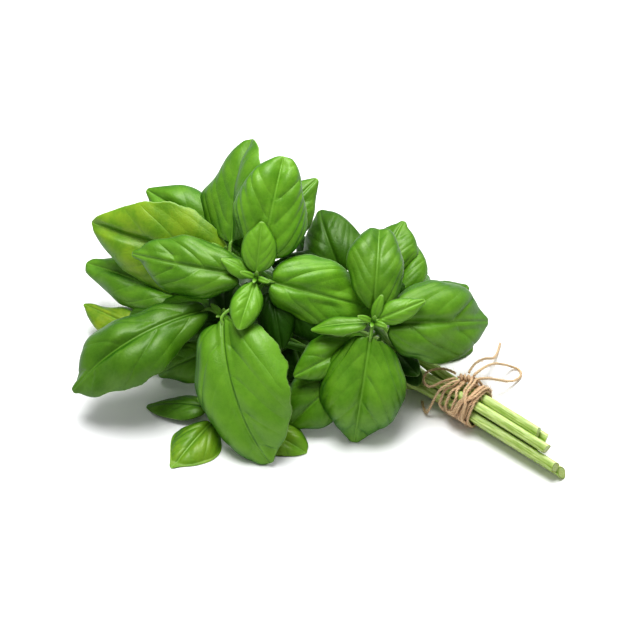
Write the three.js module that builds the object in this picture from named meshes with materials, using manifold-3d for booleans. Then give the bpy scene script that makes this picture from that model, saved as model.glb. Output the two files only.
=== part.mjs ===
// A bunch of sweet basil: seven leafy stems tied with jute twine, lying on a table.
// Millimetres, +Z up, the table is z = 0. The bunch is laid out round its tie, with x to the right and y
// to the back, and is then turned so that its length runs along X, cut ends towards +X.

import * as THREE from 'three';
import { mergeVertices } from 'three/addons/utils/BufferGeometryUtils.js';
import Module from 'manifold-3d';

const wasm = await Module();
wasm.setup();

// Driving dimensions
const stemDiameter = 5.0; // at the cut end
const tipDiameter = 2.2; // of a stem just under its youngest leaves
const stemGap = 0.3; // between neighbouring stems in the tie
const twineDiameter = 1.7;
const bladeThickness = 0.7;
const petioleDiameter = 1.9;
const tieHeading = -39; // degrees, the way the stems point where they are tied
const layoutTurn = 24; // degrees, from the layout to the length along X

const stemRadius = stemDiameter / 2;
const twineRadius = twineDiameter / 2;
const slotPitch = stemDiameter + stemGap; // stem to stem in the tied bundle
const rowHeight = slotPitch * Math.sin(Math.PI / 3);
const wrapReach = stemRadius + stemGap + twineRadius; // from an outer stem's axis to the twine's
const tiePress = 0.35; // the twine under the bundle is pressed flat by this much
const tieCentre = new THREE.Vector3(0, 0, rowHeight + wrapReach + twineRadius - tiePress);

const radians = THREE.MathUtils.degToRad;
const up = new THREE.Vector3(0, 0, 1);

// The unit vector along a heading, anticlockwise from +x, and a pitch above the horizon, in degrees.
function along(heading, pitch = 0) {
  const [h, p] = [radians(heading), radians(pitch)];
  return new THREE.Vector3(Math.cos(p) * Math.cos(h), Math.cos(p) * Math.sin(h), Math.sin(p));
}

const tieAxis = along(tieHeading);
const tieSide = along(tieHeading + 90);

// A point of the tied bundle: so far along its axis from the tie, and off it by a side and a height.
function inBundle(distance, side, height) {
  return tieCentre.clone().addScaledVector(tieAxis, distance).addScaledVector(tieSide, side)
    .addScaledVector(up, height);
}

// The place of each stem in the bundle: one in the middle and six round it.
function slotOffset(slot) {
  if (slot === 'middle') return [0, 0];
  return [slotPitch * Math.cos(radians(slot)), slotPitch * Math.sin(radians(slot))];
}

// ---- Closed surfaces ----

// Joins rings of points, all of one count, into a closed tube. Its ends are capped, or it closes on itself.
function tubeGeometry(rings, closed = false) {
  const sides = rings[0].length;
  const index = [];
  const spans = closed ? rings.length : rings.length - 1;
  for (let i = 0; i < spans; i++) {
    const next = (i + 1) % rings.length;
    for (let k = 0; k < sides; k++) {
      const [a, b] = [i * sides + k, i * sides + ((k + 1) % sides)];
      const [c, d] = [next * sides + k, next * sides + ((k + 1) % sides)];
      index.push(a, b, d, a, d, c);
    }
  }
  const last = (rings.length - 1) * sides;
  for (let k = 1; k < sides - 1 && !closed; k++) {
    index.push(0, k + 1, k, last, last + k, last + k + 1);
  }
  return new THREE.BufferGeometry().setFromPoints(rings.flat()).setIndex(index);
}

// A ring of points round a centre, in the plane of two unit vectors.
function ringOf(centre, across, beside, radiusAt, sides) {
  const ring = [];
  for (let k = 0; k < sides; k++) {
    const turn = (k / sides) * 2 * Math.PI;
    ring.push(centre.clone()
      .addScaledVector(across, Math.cos(turn) * radiusAt(k))
      .addScaledVector(beside, Math.sin(turn) * radiusAt(k)));
  }
  return ring;
}

// A stalk along a smooth curve. Its radius follows radiusAt(u), with u from 0 to 1 along it, and a ridged
// stalk is pulled in between its ridges by that share.
function stalkGeometry(curve, radiusAt, { sides, steps, ridge = 0 }) {
  const frames = curve.computeFrenetFrames(steps);
  const rings = [];
  for (let i = 0; i <= steps; i++) {
    const radius = (k) => radiusAt(i / steps) * (1 - (k % 2) * ridge);
    rings.push(ringOf(curve.getPointAt(i / steps), frames.normals[i], frames.binormals[i], radius, sides));
  }
  return tubeGeometry(rings);
}

// ---- Leaves ----

const leafShape = {
  roll: 0, // degrees about its chord
  droop: 40, // degrees that its midrib bends from base to tip
  fold: 20, // degrees that each half rises from the midrib
  cup: 92, // degrees that it then bends down to the margin
  wave: 0.05, // height of the waved margin, as a share of the half width
  widest: 0.42, // share of the length where the blade is widest
  tip: 0.7, // below 1 the tip is rounder, above 1 it is drawn out
};

const marginWaves = 2.5; // from a leaf's base to its tip
const pointShare = 0.02; // of the length, left off both ends so that a blade closes on a short edge
const crowding = 0.55; // how far a blade's rows crowd towards both ends

// Rows and columns of a blade's surface, by its length.
const bladeGrid = [[30, [5, 2]], [44, [5, 4]], [Infinity, [7, 4]]];

// Half the width of a blade at t, from 0 at its base to 1 at its tip, as a share of its greatest.
function outline(t, { widest, tip }) {
  const base = (tip * widest) / (1 - widest);
  return (t / widest) ** base * ((1 - t) / (1 - widest)) ** tip;
}

// The frame of a leaf: its chord, the way its upper face looks, and its right side.
function leafFrame(leaf) {
  const chord = along(leaf.heading, leaf.pitch);
  const face = along(leaf.faceHeading, leaf.facePitch);
  const normal = face.clone().addScaledVector(chord, -face.dot(chord)).normalize()
    .applyAxisAngle(chord, radians(leaf.roll));
  return { chord, normal, side: chord.clone().cross(normal) };
}

// A point of a blade's middle surface: t runs from base to tip and s from -1 to 1 across.
function bladePoint(leaf, t, s) {
  const { chord, normal, side } = leaf.frame;
  const droop = radians(leaf.droop);
  const lean = droop * (0.5 - t);
  const forward = (Math.sin(droop / 2) - Math.sin(lean)) / droop;
  const rise = (Math.cos(lean) - Math.cos(droop / 2)) / droop;
  const halfWidth = (leaf.width / 2) * outline(t, leaf);
  const [fold, cup] = [radians(leaf.fold), radians(leaf.cup)];
  const q = Math.abs(s);
  const across = (halfWidth * (Math.sin(fold) - Math.sin(fold - cup * q))) / cup;
  const bend = (halfWidth * (Math.cos(fold - cup * q) - Math.cos(fold))) / cup;
  const swing = Math.sin(2 * Math.PI * marginWaves * t + leaf.phase + Math.sign(s));
  const ripple = leaf.wave * halfWidth * q ** 3 * swing;
  const point = leaf.base.clone()
    .addScaledVector(chord, forward * leaf.length - (bend + ripple) * Math.sin(lean))
    .addScaledVector(normal, rise * leaf.length + (bend + ripple) * Math.cos(lean))
    .addScaledVector(side, Math.sign(s) * across);
  point.z = Math.max(point.z, bladeThickness / 2);
  return point;
}

// A closed blade: its upper and lower faces are split alike, and a rim joins them.
function bladeGeometry(leaf) {
  const [rows, columns] = bladeGrid.find(([longest]) => leaf.length <= longest)[1];
  const points = [];
  const step = 1e-3;
  for (const sign of [1, -1]) {
    for (let i = 0; i <= rows; i++) {
      const even = i / rows;
      const eased = (1 - Math.cos(Math.PI * even)) / 2;
      const share = (1 - crowding) * even + crowding * eased;
      const t = pointShare + (1 - 2 * pointShare) * share;
      for (let j = 0; j <= columns; j++) {
        const s = (2 * j) / columns - 1;
        const sNear = THREE.MathUtils.clamp(s, step - 1, 1 - step);
        const point = bladePoint(leaf, t, s);
        const lengthways = bladePoint(leaf, t + step, sNear).sub(bladePoint(leaf, t - step, sNear));
        const crossways = bladePoint(leaf, t, sNear + step).sub(bladePoint(leaf, t, sNear - step));
        const normal = crossways.cross(lengthways).normalize();
        point.addScaledVector(normal, (sign * bladeThickness) / 2);
        point.z = Math.max(point.z, 0);
        points.push(point);
      }
    }
  }
  const at = (face, i, j) => (face * (rows + 1) + i) * (columns + 1) + j;
  const index = [];
  for (let i = 0; i < rows; i++) {
    for (let j = 0; j < columns; j++) {
      const [a, b, c, d] = [at(0, i, j), at(0, i, j + 1), at(0, i + 1, j + 1), at(0, i + 1, j)];
      const [e, f, g, h] = [at(1, i, j), at(1, i, j + 1), at(1, i + 1, j + 1), at(1, i + 1, j)];
      index.push(a, b, c, a, c, d, e, g, f, e, h, g);
    }
  }
  const rim = [];
  for (let j = 0; j < columns; j++) rim.push([0, j]);
  for (let i = 0; i < rows; i++) rim.push([i, columns]);
  for (let j = columns; j > 0; j--) rim.push([rows, j]);
  for (let i = rows; i > 0; i--) rim.push([i, 0]);
  rim.forEach(([i, j], n) => {
    const [k, l] = rim[(n + 1) % rim.length];
    index.push(at(0, i, j), at(1, i, j), at(1, k, l), at(0, i, j), at(1, k, l), at(0, k, l));
  });
  return new THREE.BufferGeometry().setFromPoints(points).setIndex(index);
}

// The stalk of a leaf: from inside the stem, along the leaf's start, and a little way under its blade.
function petioleGeometry(leaf) {
  const under = bladePoint(leaf, 0.16, 0);
  const curve = new THREE.CatmullRomCurve3([leaf.root, leaf.base.clone(), under]);
  const radius = (petioleDiameter / 2) * THREE.MathUtils.clamp(leaf.length / 40, 0.75, 1);
  return stalkGeometry(curve, (u) => radius * (1 - 0.35 * u), { sides: 4, steps: 3 });
}

// ---- Solids ----

function solid(geometry) {
  const merged = mergeVertices(new THREE.BufferGeometry()
    .setAttribute('position', geometry.getAttribute('position')).setIndex(geometry.index), 1e-4);
  return new wasm.Manifold(new wasm.Mesh({
    numProp: 3,
    vertProperties: merged.attributes.position.array,
    triVerts: new Uint32Array(merged.index.array),
  }));
}

// Joins solids and keeps the largest body, so that no loose scrap is left.
function fuse(solids) {
  const joined = solids.reduce((sum, next) => sum.add(next));
  return joined.decompose().sort((a, b) => b.volume() - a.volume())[0];
}

function meshOf(manifold, name, material) {
  const { vertProperties, triVerts } = manifold.getMesh();
  const geometry = new THREE.BufferGeometry()
    .setAttribute('position', new THREE.BufferAttribute(vertProperties, 3))
    .setIndex(new THREE.BufferAttribute(triVerts, 1));
  geometry.computeVertexNormals();
  const mesh = new THREE.Mesh(geometry, material);
  mesh.name = name;
  return mesh;
}

const materials = {
  leaf: new THREE.MeshStandardMaterial({ color: 0x4f9a1c, roughness: 0.45, metalness: 0 }),
  twine: new THREE.MeshStandardMaterial({ color: 0xb08a58, roughness: 0.9, metalness: 0 }),
};

// ---- The seven sprigs ----

// Each has its slot in the tie, how its stem's end is slanted (a turn and a tilt of the cut, in degrees), how
// far behind the tie it is cut, the points that it passes from the neck of the bunch to its tip, the way that
// its top looks (heading and pitch), and its leaves. A leaf says where on the stem it grows (0 at the neck, 1
// at the tip), its chord's heading and pitch, its length and width, and the length of its stalk (petiole).
// It may also roll about its chord, droop by more or less than usual, look another way than its sprig
// (facing), or send its stalk off along a way of its own (stalk).
const sprigs = {
  sprig_centre: {
    slot: 60,
    slant: [10, -8],
    cut: 40,
    route: [[-50, 27, 26], [-76, 31, 44], [-91, 30, 56], [-93, 24, 63]],
    facing: [270, 48],
    leaves: [
      { at: 0.86, heading: 294, pitch: -41, roll: 34, length: 71, width: 57, droop: 62, cup: 84, tip: 0.6,
        petiole: 26, stalk: [218, -15] },
      { at: 0.93, heading: 73, pitch: 45, length: 47, width: 41, petiole: 9 },
      { at: 0.95, heading: 163, pitch: -2, roll: -8, length: 52, width: 33, droop: 42, petiole: 8 },
      { at: 0.95, heading: 356, pitch: -17, roll: 5, length: 50, width: 38, droop: 40, tip: 0.6, petiole: 6 },
      { at: 0.99, heading: 80, pitch: 52, length: 23, width: 18, droop: 20, petiole: 2 },
      { at: 0.99, heading: 252, pitch: -22, length: 24, width: 17, petiole: 2 },
      { at: 0.97, heading: 160, pitch: 20, roll: 30, length: 16, width: 12, droop: 30, petiole: 2 },
      { at: 0.8, heading: 318, pitch: -16, length: 29, width: 24, petiole: 6 },
      { at: 0.84, heading: 282, pitch: -32, length: 27, width: 22, petiole: 4 },
    ],
  },
  sprig_right: {
    slot: 120,
    slant: [-12, 6],
    cut: 48,
    route: [[-33, 20, 24], [-39, 16, 38], [-42, 11, 47], [-42, 8, 52]],
    facing: [270, 48],
    leaves: [
      { at: 0.95, heading: 253, pitch: -62, length: 53, width: 46, droop: 52, widest: 0.47, tip: 0.45,
        petiole: 6 },
      { at: 0.9, heading: 85, pitch: 30, length: 41, width: 32, droop: 80, widest: 0.5, tip: 0.5,
        petiole: 6 },
      { at: 0.92, heading: 20, pitch: -19, length: 54, width: 46, droop: 55, tip: 0.5, petiole: 7 },
      { at: 0.5, heading: 213, pitch: -30, length: 47, width: 38, droop: 50, petiole: 13 },
      { at: 0.62, heading: 206, pitch: -12, length: 38, width: 25, petiole: 7 },
      { at: 0.99, heading: 16, pitch: 16, length: 23, width: 14, droop: 30, petiole: 2 },
      { at: 0.99, heading: 178, pitch: -12, roll: 40, length: 26, width: 12, droop: 20, petiole: 2 },
      { at: 0.99, heading: 60, pitch: 52, length: 12, width: 7, droop: 30, petiole: 1 },
      { at: 0.22, heading: 300, pitch: -14, length: 16, width: 11, droop: 30, petiole: 3 },
      { at: 0.3, heading: 300, pitch: 4, length: 19, width: 12, droop: 30, petiole: 3 },
    ],
  },
  sprig_back_left: {
    slot: 'middle',
    slant: [8, 10],
    cut: 43,
    route: [[-58, 37, 20], [-86, 46, 38], [-104, 46, 54], [-107, 42, 60]],
    facing: [250, 55],
    leaves: [
      { at: 0.95, heading: 77, pitch: 36, roll: -40, length: 49, width: 48, droop: 20, fold: 30, cup: 50,
        tip: 0.9, petiole: 5 },
      { at: 0.79, heading: 159, pitch: 2, roll: -24, length: 70, width: 44, droop: 22, fold: 24, cup: 50,
        tip: 0.9, petiole: 13 },
      { at: 0.8, heading: 148, pitch: 13, length: 58, width: 33, petiole: 10, stalk: [115, 8] },
      { at: 0.85, heading: 44, pitch: 27, length: 37, width: 26, droop: 30, petiole: 14 },
      { at: 0.6, heading: 122, pitch: -38, length: 50, width: 34, droop: 50, petiole: 14, facing: [90, 45] },
      { at: 0.42, heading: 112, pitch: -30, length: 44, width: 28, droop: 50, petiole: 12, facing: [80, 45] },
      { at: 0.8, heading: 100, pitch: 0, length: 44, width: 30, droop: 50, petiole: 12, facing: [90, 60] },
      { at: 0.93, heading: 235, pitch: -4, length: 22, width: 18, petiole: 3 },
    ],
  },
  sprig_left: {
    slot: 180,
    slant: [-6, -14],
    cut: 55,
    route: [[-52, 21, 13], [-84, 22, 24], [-104, 24, 35], [-108, 22, 41]],
    facing: [240, 60],
    leaves: [
      { at: 0.95, heading: 205, pitch: -19, roll: 6, length: 76, width: 42, droop: 76, widest: 0.55, tip: 0.6,
        petiole: 10, stalk: [165, 25] },
      { at: 0.83, heading: 160, pitch: -12, roll: 14, length: 52, width: 31, petiole: 9 },
      { at: 0.65, heading: 150, pitch: -3, roll: 8, length: 77, width: 32, droop: 24, petiole: 30 },
      { at: 0.8, heading: 146, pitch: 0, roll: 8, length: 58, width: 26, droop: 24, tip: 0.9, petiole: 36,
        stalk: [181, -24] },
      { at: 0.75, heading: 182, pitch: -29, length: 40, width: 28, petiole: 15 },
      { at: 0.5, heading: 130, pitch: -22, length: 42, width: 28, petiole: 12 },
      { at: 0.97, heading: 90, pitch: 4, length: 22, width: 20, petiole: 3 },
    ],
  },
  sprig_front: {
    slot: 240,
    slant: [4, -34],
    cut: 57,
    route: [[-50, 12, 5.5], [-84, 3, 4], [-108, -1, 5], [-114, -3, 7]],
    facing: [250, 70],
    leaves: [
      { at: 0.95, heading: 171, pitch: -10, roll: 30, length: 30, width: 20, droop: 30, petiole: 5 },
      { at: 0.97, heading: 233, pitch: -12, length: 30, width: 29, droop: 30, tip: 0.9, petiole: 7,
        stalk: [256, -9] },
      { at: 0.78, heading: 330, pitch: -8, length: 28, width: 28, droop: 30, tip: 0.9, petiole: 11,
        stalk: [268, 2] },
      { at: 0.5, heading: 104, pitch: -6, length: 36, width: 30, petiole: 8 },
    ],
  },
  sprig_back_right: {
    slot: 0,
    slant: [14, 4],
    cut: 43,
    route: [[-38, 36, 20], [-50, 46, 32], [-56, 50, 38]],
    facing: [240, 60],
    leaves: [
      { at: 0.95, heading: 108, pitch: 20, length: 35, width: 36, droop: 74, petiole: 4 },
      { at: 0.8, heading: 64, pitch: 24, length: 27, width: 30, petiole: 17, stalk: [45, 12] },
      { at: 0.7, heading: 72, pitch: 16, length: 29, width: 23, petiole: 16, stalk: [14, 8] },
      { at: 0.5, heading: 105, pitch: -26, length: 44, width: 28, petiole: 12, facing: [90, 45] },
      { at: 0.95, heading: 170, pitch: 6, length: 30, width: 24, droop: 50, petiole: 5 },
      { at: 0.9, heading: 128, pitch: 0, length: 34, width: 26, petiole: 5 },
      { at: 0.85, heading: 16, pitch: -8, length: 28, width: 24, petiole: 5 },
    ],
  },
  sprig_low_right: {
    slot: 300,
    slant: [-10, -10],
    cut: 36,
    route: [[-28.7, 32.8, 11], [-20, 40, 14]],
    facing: [300, 60],
    leaves: [
      { at: 0.86, heading: 2, pitch: -24, length: 29, width: 25, petiole: 4 },
      { at: 0.95, heading: 47, pitch: 0, length: 33, width: 28, petiole: 5 },
      { at: 0.8, heading: 76, pitch: -8, length: 40, width: 26, petiole: 6, facing: [90, 60] },
    ],
  },
};

const neck = -26; // along the bundle's axis, where the stems start to part
const neckKnot = 4; // the neck's place among the points of a stem's curve
const sagReach = 60; // from the tie, over which the cut ends come down to the table

function stemCurve({ slot, cut, route }) {
  const [side, height] = slotOffset(slot);
  const sag = (0.9 * (tieCentre.z - rowHeight - stemRadius)) / sagReach;
  const points = [
    inBundle(cut, side, height - sag * cut),
    inBundle(cut * 0.55, side, height - sag * cut * 0.35),
    inBundle(9, side, height),
    inBundle(-11, side, height),
    inBundle(neck, side * 1.25, height * 1.1),
  ];
  return new THREE.CatmullRomCurve3([...points, ...route.map((p) => new THREE.Vector3(...p))]);
}

function placeLeaf(leaf, sprig, curve, neckShare, number) {
  const [faceHeading, facePitch] = leaf.facing ?? sprig.facing;
  const placed = { ...leafShape, ...leaf, faceHeading, facePitch, phase: 2.4 * number };
  placed.frame = leafFrame(placed);
  placed.root = curve.getPointAt(neckShare + (1 - neckShare) * leaf.at);
  const { chord, normal } = placed.frame;
  const lean = radians(placed.droop) / 2;
  const start = leaf.stalk ? along(...leaf.stalk)
    : chord.clone().multiplyScalar(Math.cos(lean)).addScaledVector(normal, Math.sin(lean));
  placed.base = placed.root.clone().addScaledVector(start, leaf.petiole);
  return placed;
}

// The share of a stem's length at which it leaves the neck of the bunch.
function shareAtNeck(curve) {
  const lengths = curve.getLengths(200);
  const knots = curve.points.length - 1;
  return lengths[Math.round((neckKnot / knots) * 200)] / lengths[200];
}

// One sprig: its stem, cut across at a slant, with its leaves and their stalks grown into it.
function sprigSolid(sprig, firstLeaf) {
  const curve = stemCurve(sprig);
  const neckShare = shareAtNeck(curve);
  const taper = (u) => Math.max(0, (u - neckShare) / (1 - neckShare));
  const radiusAt = (u) => THREE.MathUtils.lerp(stemRadius, tipDiameter / 2, taper(u));
  const [turn, tilt] = sprig.slant;
  const inward = along(tieHeading + 180 + turn, tilt);
  const cutPoint = curve.getPointAt(0).addScaledVector(tieAxis, -stemRadius);
  const stem = solid(stalkGeometry(curve, radiusAt, { sides: 8, steps: 14, ridge: 0.08 }))
    .trimByPlane(inward.toArray(), inward.dot(cutPoint));
  const leaves = sprig.leaves.flatMap((leaf, i) => {
    const placed = placeLeaf(leaf, sprig, curve, neckShare, firstLeaf + i);
    return [solid(bladeGeometry(placed)), solid(petioleGeometry(placed))];
  });
  return fuse([stem, ...leaves]);
}

// ---- The twine ----

// Each turn round the bundle: its mean place along the axis, how far it swings from that, and the angle round
// the bundle where it swings furthest towards the cut ends.
const turns = [
  { place: 7.6, swing: 0.3, towards: 250 },
  { place: 6.2, swing: 0.5, towards: 40 },
  { place: 4.8, swing: 0.4, towards: 260 },
  { place: 3.5, swing: 0.7, towards: 70 },
  { place: 2.2, swing: 0.6, towards: 230 },
  { place: -0.6, swing: 2.2, towards: 255 },
  { place: -2.4, swing: 2.2, towards: 330 },
  { place: -4.4, swing: 3.4, towards: 345 },
];

// A turn follows the rounded hexagon of the six outer stems.
function turnPoints({ place, swing, towards }) {
  const points = [];
  for (let slot = 0; slot < 360; slot += 60) {
    for (const lean of [-28, 0, 28]) {
      const angle = slot + lean;
      const [side, height] = slotOffset(slot);
      points.push(inBundle(
        place + swing * Math.cos(radians(angle - towards)),
        side + wrapReach * Math.cos(radians(angle)),
        height + wrapReach * Math.sin(radians(angle)),
      ));
    }
  }
  return points;
}

// A closed turn of twine, each of its rings square to it.
function turnGeometry(turn) {
  const points = turnPoints(turn);
  const rings = points.map((point, i) => {
    const next = points[(i + 1) % points.length];
    const last = points[(i + points.length - 1) % points.length];
    const ahead = next.clone().sub(last).normalize();
    const outward = tieAxis.clone().cross(ahead).normalize();
    return ringOf(point, outward, ahead.clone().cross(outward), () => twineRadius, 6);
  });
  return tubeGeometry(rings, true);
}

// The knot is a short barrel on top of the turns.
const knotCentre = new THREE.Vector3(-0.3, 5.4, 18.1);
const knotHeading = -10;
const knotLength = 6.4;
const knotRadius = 1.9;

function knotGeometry() {
  const reach = along(knotHeading).multiplyScalar(knotLength / 2);
  const curve = new THREE.LineCurve3(knotCentre.clone().sub(reach), knotCentre.clone().add(reach));
  const radiusAt = (u) => knotRadius * (0.72 + 0.28 * Math.sin(Math.PI * u));
  return stalkGeometry(curve, radiusAt, { sides: 10, steps: 4 });
}

// The bow's two loops and two tails leave the knot and come down on the stems or on the table.
const bowStrands = {
  bow_loop_right: [[3.4, 6.3, 18.6], [5.9, 8.5, 19.1], [8.5, 11, 18.8], [11.8, 14.8, 16.5], [15, 18.5, 13],
    [17.8, 21.7, 8.9], [20.5, 24.6, 5], [22.2, 26, 2.7], [24, 26.6, 1.3], [26, 25.8, 0.95], [27, 24, 0.95],
    [26.8, 21.8, 1.05], [25.6, 19.8, 1.3], [23, 17.3, 2.5], [20, 15, 4.8], [16.6, 12.4, 8.5],
    [13, 9.6, 12.4], [10.5, 7.7, 15.1], [8, 6, 17], [5.7, 4.7, 18.1], [3.5, 3.7, 18.3]],
  bow_loop_left: [[-4.4, 7.6, 18.5], [-6.4, 9, 18.6], [-8.5, 10.2, 18.4], [-11, 11.1, 17.9],
    [-13.5, 11.3, 17.2], [-15.8, 10.7, 16.9], [-17.4, 9.4, 16.8], [-18.5, 7.6, 16.3], [-18.6, 5.6, 15.5],
    [-17.8, 4, 15.1], [-16.2, 3, 15], [-14.4, 2.9, 15.6], [-12.5, 3.4, 16.4], [-10.3, 4, 17.3],
    [-8, 4.3, 18], [-6.3, 4.6, 18.4], [-4.6, 4.8, 18.4]],
  bow_tail_back: [[1.4, 8.1, 18.6], [2.8, 10.4, 19.1], [4.5, 13, 19], [6.9, 16.7, 17], [9.5, 20.5, 14],
    [11.8, 24.3, 10], [14, 28, 6], [14.8, 29.9, 4.3], [15.4, 31.5, 3.1], [16, 33.1, 2.1], [16.7, 35, 1.4],
    [17.3, 36.9, 1], [17.8, 38.7, 0.9], [18.3, 40.5, 0.9], [18.7, 42, 0.9]],
  bow_tail_front: [[-3, 2.5, 19.5], [-4.7, 1.8, 19.9], [-6.5, 1.2, 19.8], [-8.9, 0.6, 18.7],
    [-11.2, 0, 17], [-13, -0.5, 13.7], [-14.4, -1, 10], [-15.5, -1.4, 6.8], [-16.4, -1.6, 4],
    [-17, -1.2, 2.2], [-17.5, -0.2, 1.2], [-18, 1.4, 0.9], [-18.4, 3, 0.88], [-18.6, 4.6, 0.88],
    [-18.7, 6.2, 0.88]],
};

function strandGeometry(points) {
  const extrudePath = new THREE.CatmullRomCurve3(points.map((p) => new THREE.Vector3(...p)));
  const steps = Math.round(extrudePath.getLength() / (2.2 * twineDiameter));
  const section = new THREE.Shape();
  for (let k = 0; k < 8; k++) {
    const angle = (k / 8) * 2 * Math.PI;
    const [x, y] = [twineRadius * Math.cos(angle), twineRadius * Math.sin(angle)];
    if (k === 0) section.moveTo(x, y);
    else section.lineTo(x, y);
  }
  section.closePath();
  return new THREE.ExtrudeGeometry(section, { extrudePath, steps, bevelEnabled: false });
}

// ---- The bunch ----

const sprigNames = Object.keys(sprigs);
const tabletop = solid(new THREE.BoxGeometry(600, 600, 100).translate(0, 0, -50));
const tie = fuse([...turns.map((turn) => solid(turnGeometry(turn))), solid(knotGeometry())])
  .subtract(tabletop);

const nodes = [];
let leafCount = 0;
for (const name of sprigNames) {
  nodes.push({ name, body: sprigSolid(sprigs[name], leafCount), material: materials.leaf });
  leafCount += sprigs[name].leaves.length;
}
nodes.push({ name: 'twine_tie', body: tie, material: materials.twine });
const fixedNodes = nodes.length;
for (const [name, points] of Object.entries(bowStrands)) {
  nodes.push({ name, body: solid(strandGeometry(points)), material: materials.twine });
}

// The length is turned along X. The origin is under the middle of the bunch, its free strands left out.
for (const node of nodes) node.body = node.body.rotate([0, 0, layoutTurn]);
const extent = new THREE.Box3();
for (const { body } of nodes.slice(0, fixedNodes)) {
  const { min, max } = body.boundingBox();
  extent.expandByPoint(new THREE.Vector3(...min)).expandByPoint(new THREE.Vector3(...max));
}
const middle = extent.getCenter(new THREE.Vector3());

const bunch = new THREE.Group();
bunch.name = 'basil_bunch';
for (const { name, body, material } of nodes) {
  bunch.add(meshOf(body.translate([-middle.x, -middle.y, 0]), name, material));
}

export default bunch;
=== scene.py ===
import math

import bmesh
import bpy
import numpy as np
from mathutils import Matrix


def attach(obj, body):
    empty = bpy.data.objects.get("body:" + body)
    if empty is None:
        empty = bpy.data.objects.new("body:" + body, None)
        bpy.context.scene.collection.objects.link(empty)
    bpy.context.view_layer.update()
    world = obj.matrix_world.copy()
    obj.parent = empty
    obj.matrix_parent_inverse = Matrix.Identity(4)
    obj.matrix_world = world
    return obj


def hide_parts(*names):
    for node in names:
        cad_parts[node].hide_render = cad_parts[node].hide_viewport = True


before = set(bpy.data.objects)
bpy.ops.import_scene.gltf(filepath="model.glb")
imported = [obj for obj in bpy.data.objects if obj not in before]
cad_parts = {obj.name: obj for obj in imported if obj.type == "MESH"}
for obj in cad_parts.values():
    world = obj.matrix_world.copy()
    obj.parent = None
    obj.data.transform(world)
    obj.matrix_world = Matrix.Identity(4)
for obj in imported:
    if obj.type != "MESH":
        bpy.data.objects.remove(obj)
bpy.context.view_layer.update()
print("frame loaded:", ", ".join(sorted(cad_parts)))

mm = 0.001

# The bunch is laid out in millimetres round its tie, x to the right and y to the back, as its solids are.
bundle = {
    "layoutTurn": 24,  # degrees, from the layout to the length along X
    "shift": (67.2087, 7.4473, 0.0),
    "stemDiameter": 5.0,
    "tipDiameter": 2.2,
    "stemGap": 0.3,
    "twineDiameter": 1.7,
    "petioleDiameter": 1.9,
    "tieHeading": -39,
    "tiePress": 0.35,
    "neck": -26,
    "neckSpread": (1.25, 1.1),  # how far the stems have parted at the neck, sideways and in height
    "heldFrom": 9,  # the stems lie side by side between these two places
    "heldTo": -11,
    "sagReach": 60,
    "sagShare": 0.9,  # of the way down to the table
    "sagKnee": (0.55, 0.35),  # where the cut ends start to bend down, and how far down they are there
}
stemRadius = bundle["stemDiameter"] / 2
twineRadius = bundle["twineDiameter"] / 2
slotPitch = bundle["stemDiameter"] + bundle["stemGap"]
rowHeight = slotPitch * math.sin(math.pi / 3)
wrapReach = stemRadius + bundle["stemGap"] + twineRadius
tieCentre = np.array([0, 0, rowHeight + wrapReach + twineRadius - bundle["tiePress"]])
up = np.array([0.0, 0.0, 1.0])


def toPart(points):
    # layout millimetres to the part's frame in metres
    points = np.asarray(points, float)
    turn = math.radians(bundle["layoutTurn"])
    x = math.cos(turn) * points[..., 0] - math.sin(turn) * points[..., 1]
    y = math.sin(turn) * points[..., 0] + math.cos(turn) * points[..., 1]
    return (np.stack([x, y, points[..., 2]], -1) + np.array(bundle["shift"])) * mm


def along(heading, pitch=0.0):
    h, p = math.radians(heading), math.radians(pitch)
    return np.array([math.cos(p) * math.cos(h), math.cos(p) * math.sin(h), math.sin(p)])


def unit(vectors):
    return vectors / np.maximum(np.linalg.norm(vectors, axis=-1, keepdims=True), 1e-12)


def turned(vector, axis, degrees):
    a = math.radians(degrees)
    return (vector * math.cos(a) + np.cross(axis, vector) * math.sin(a)
            + axis * np.dot(axis, vector) * (1 - math.cos(a)))


def smoothStep(low, high, values):
    x = np.clip((values - low) / (high - low), 0, 1)
    return x * x * (3 - 2 * x)


def smoothPath(points, perSpan=16, closed=False):
    # one smooth curve through given points, the same curve as the solids follow
    points = np.asarray(points, float)
    count = len(points)
    pieces = []
    for i in range(count if closed else count - 1):
        b, c = points[i], points[(i + 1) % count]
        a = points[i - 1] if closed or i > 0 else 2 * b - c
        d = points[(i + 2) % count] if closed or i + 2 < count else 2 * c - b
        spanA, spanB, spanC = (np.sqrt(np.linalg.norm(q - p)) for p, q in ((a, b), (b, c), (c, d)))
        leave = ((b - a) / spanA - (c - a) / (spanA + spanB) + (c - b) / spanB) * spanB
        arrive = ((c - b) / spanB - (d - b) / (spanB + spanC) + (d - c) / spanC) * spanB
        u = np.linspace(0, 1, perSpan, endpoint=False)[:, None]
        pieces.append(b + leave * u + (-3 * b + 3 * c - 2 * leave - arrive) * u ** 2
                      + (2 * b - 2 * c + leave + arrive) * u ** 3)
    if not closed:
        pieces.append(points[-1:])
    return np.concatenate(pieces)


def lengthsOf(path):
    steps = np.linalg.norm(np.diff(path, axis=0), axis=1)
    return np.concatenate([[0], np.cumsum(steps)])


def atShare(path, shares):
    lengths = lengthsOf(path)
    wanted = np.asarray(shares) * lengths[-1]
    return np.stack([np.interp(wanted, lengths, path[:, k]) for k in range(3)], -1)


def linearColour(hexText):
    values = [int(hexText[i:i + 2], 16) / 255 for i in (1, 3, 5)]
    return tuple(v / 12.92 if v <= 0.04045 else ((v + 0.055) / 1.055) ** 2.4 for v in values) + (1.0,)


def firstOutput(node):
    return next(s for s in node.outputs if s.enabled)


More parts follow.
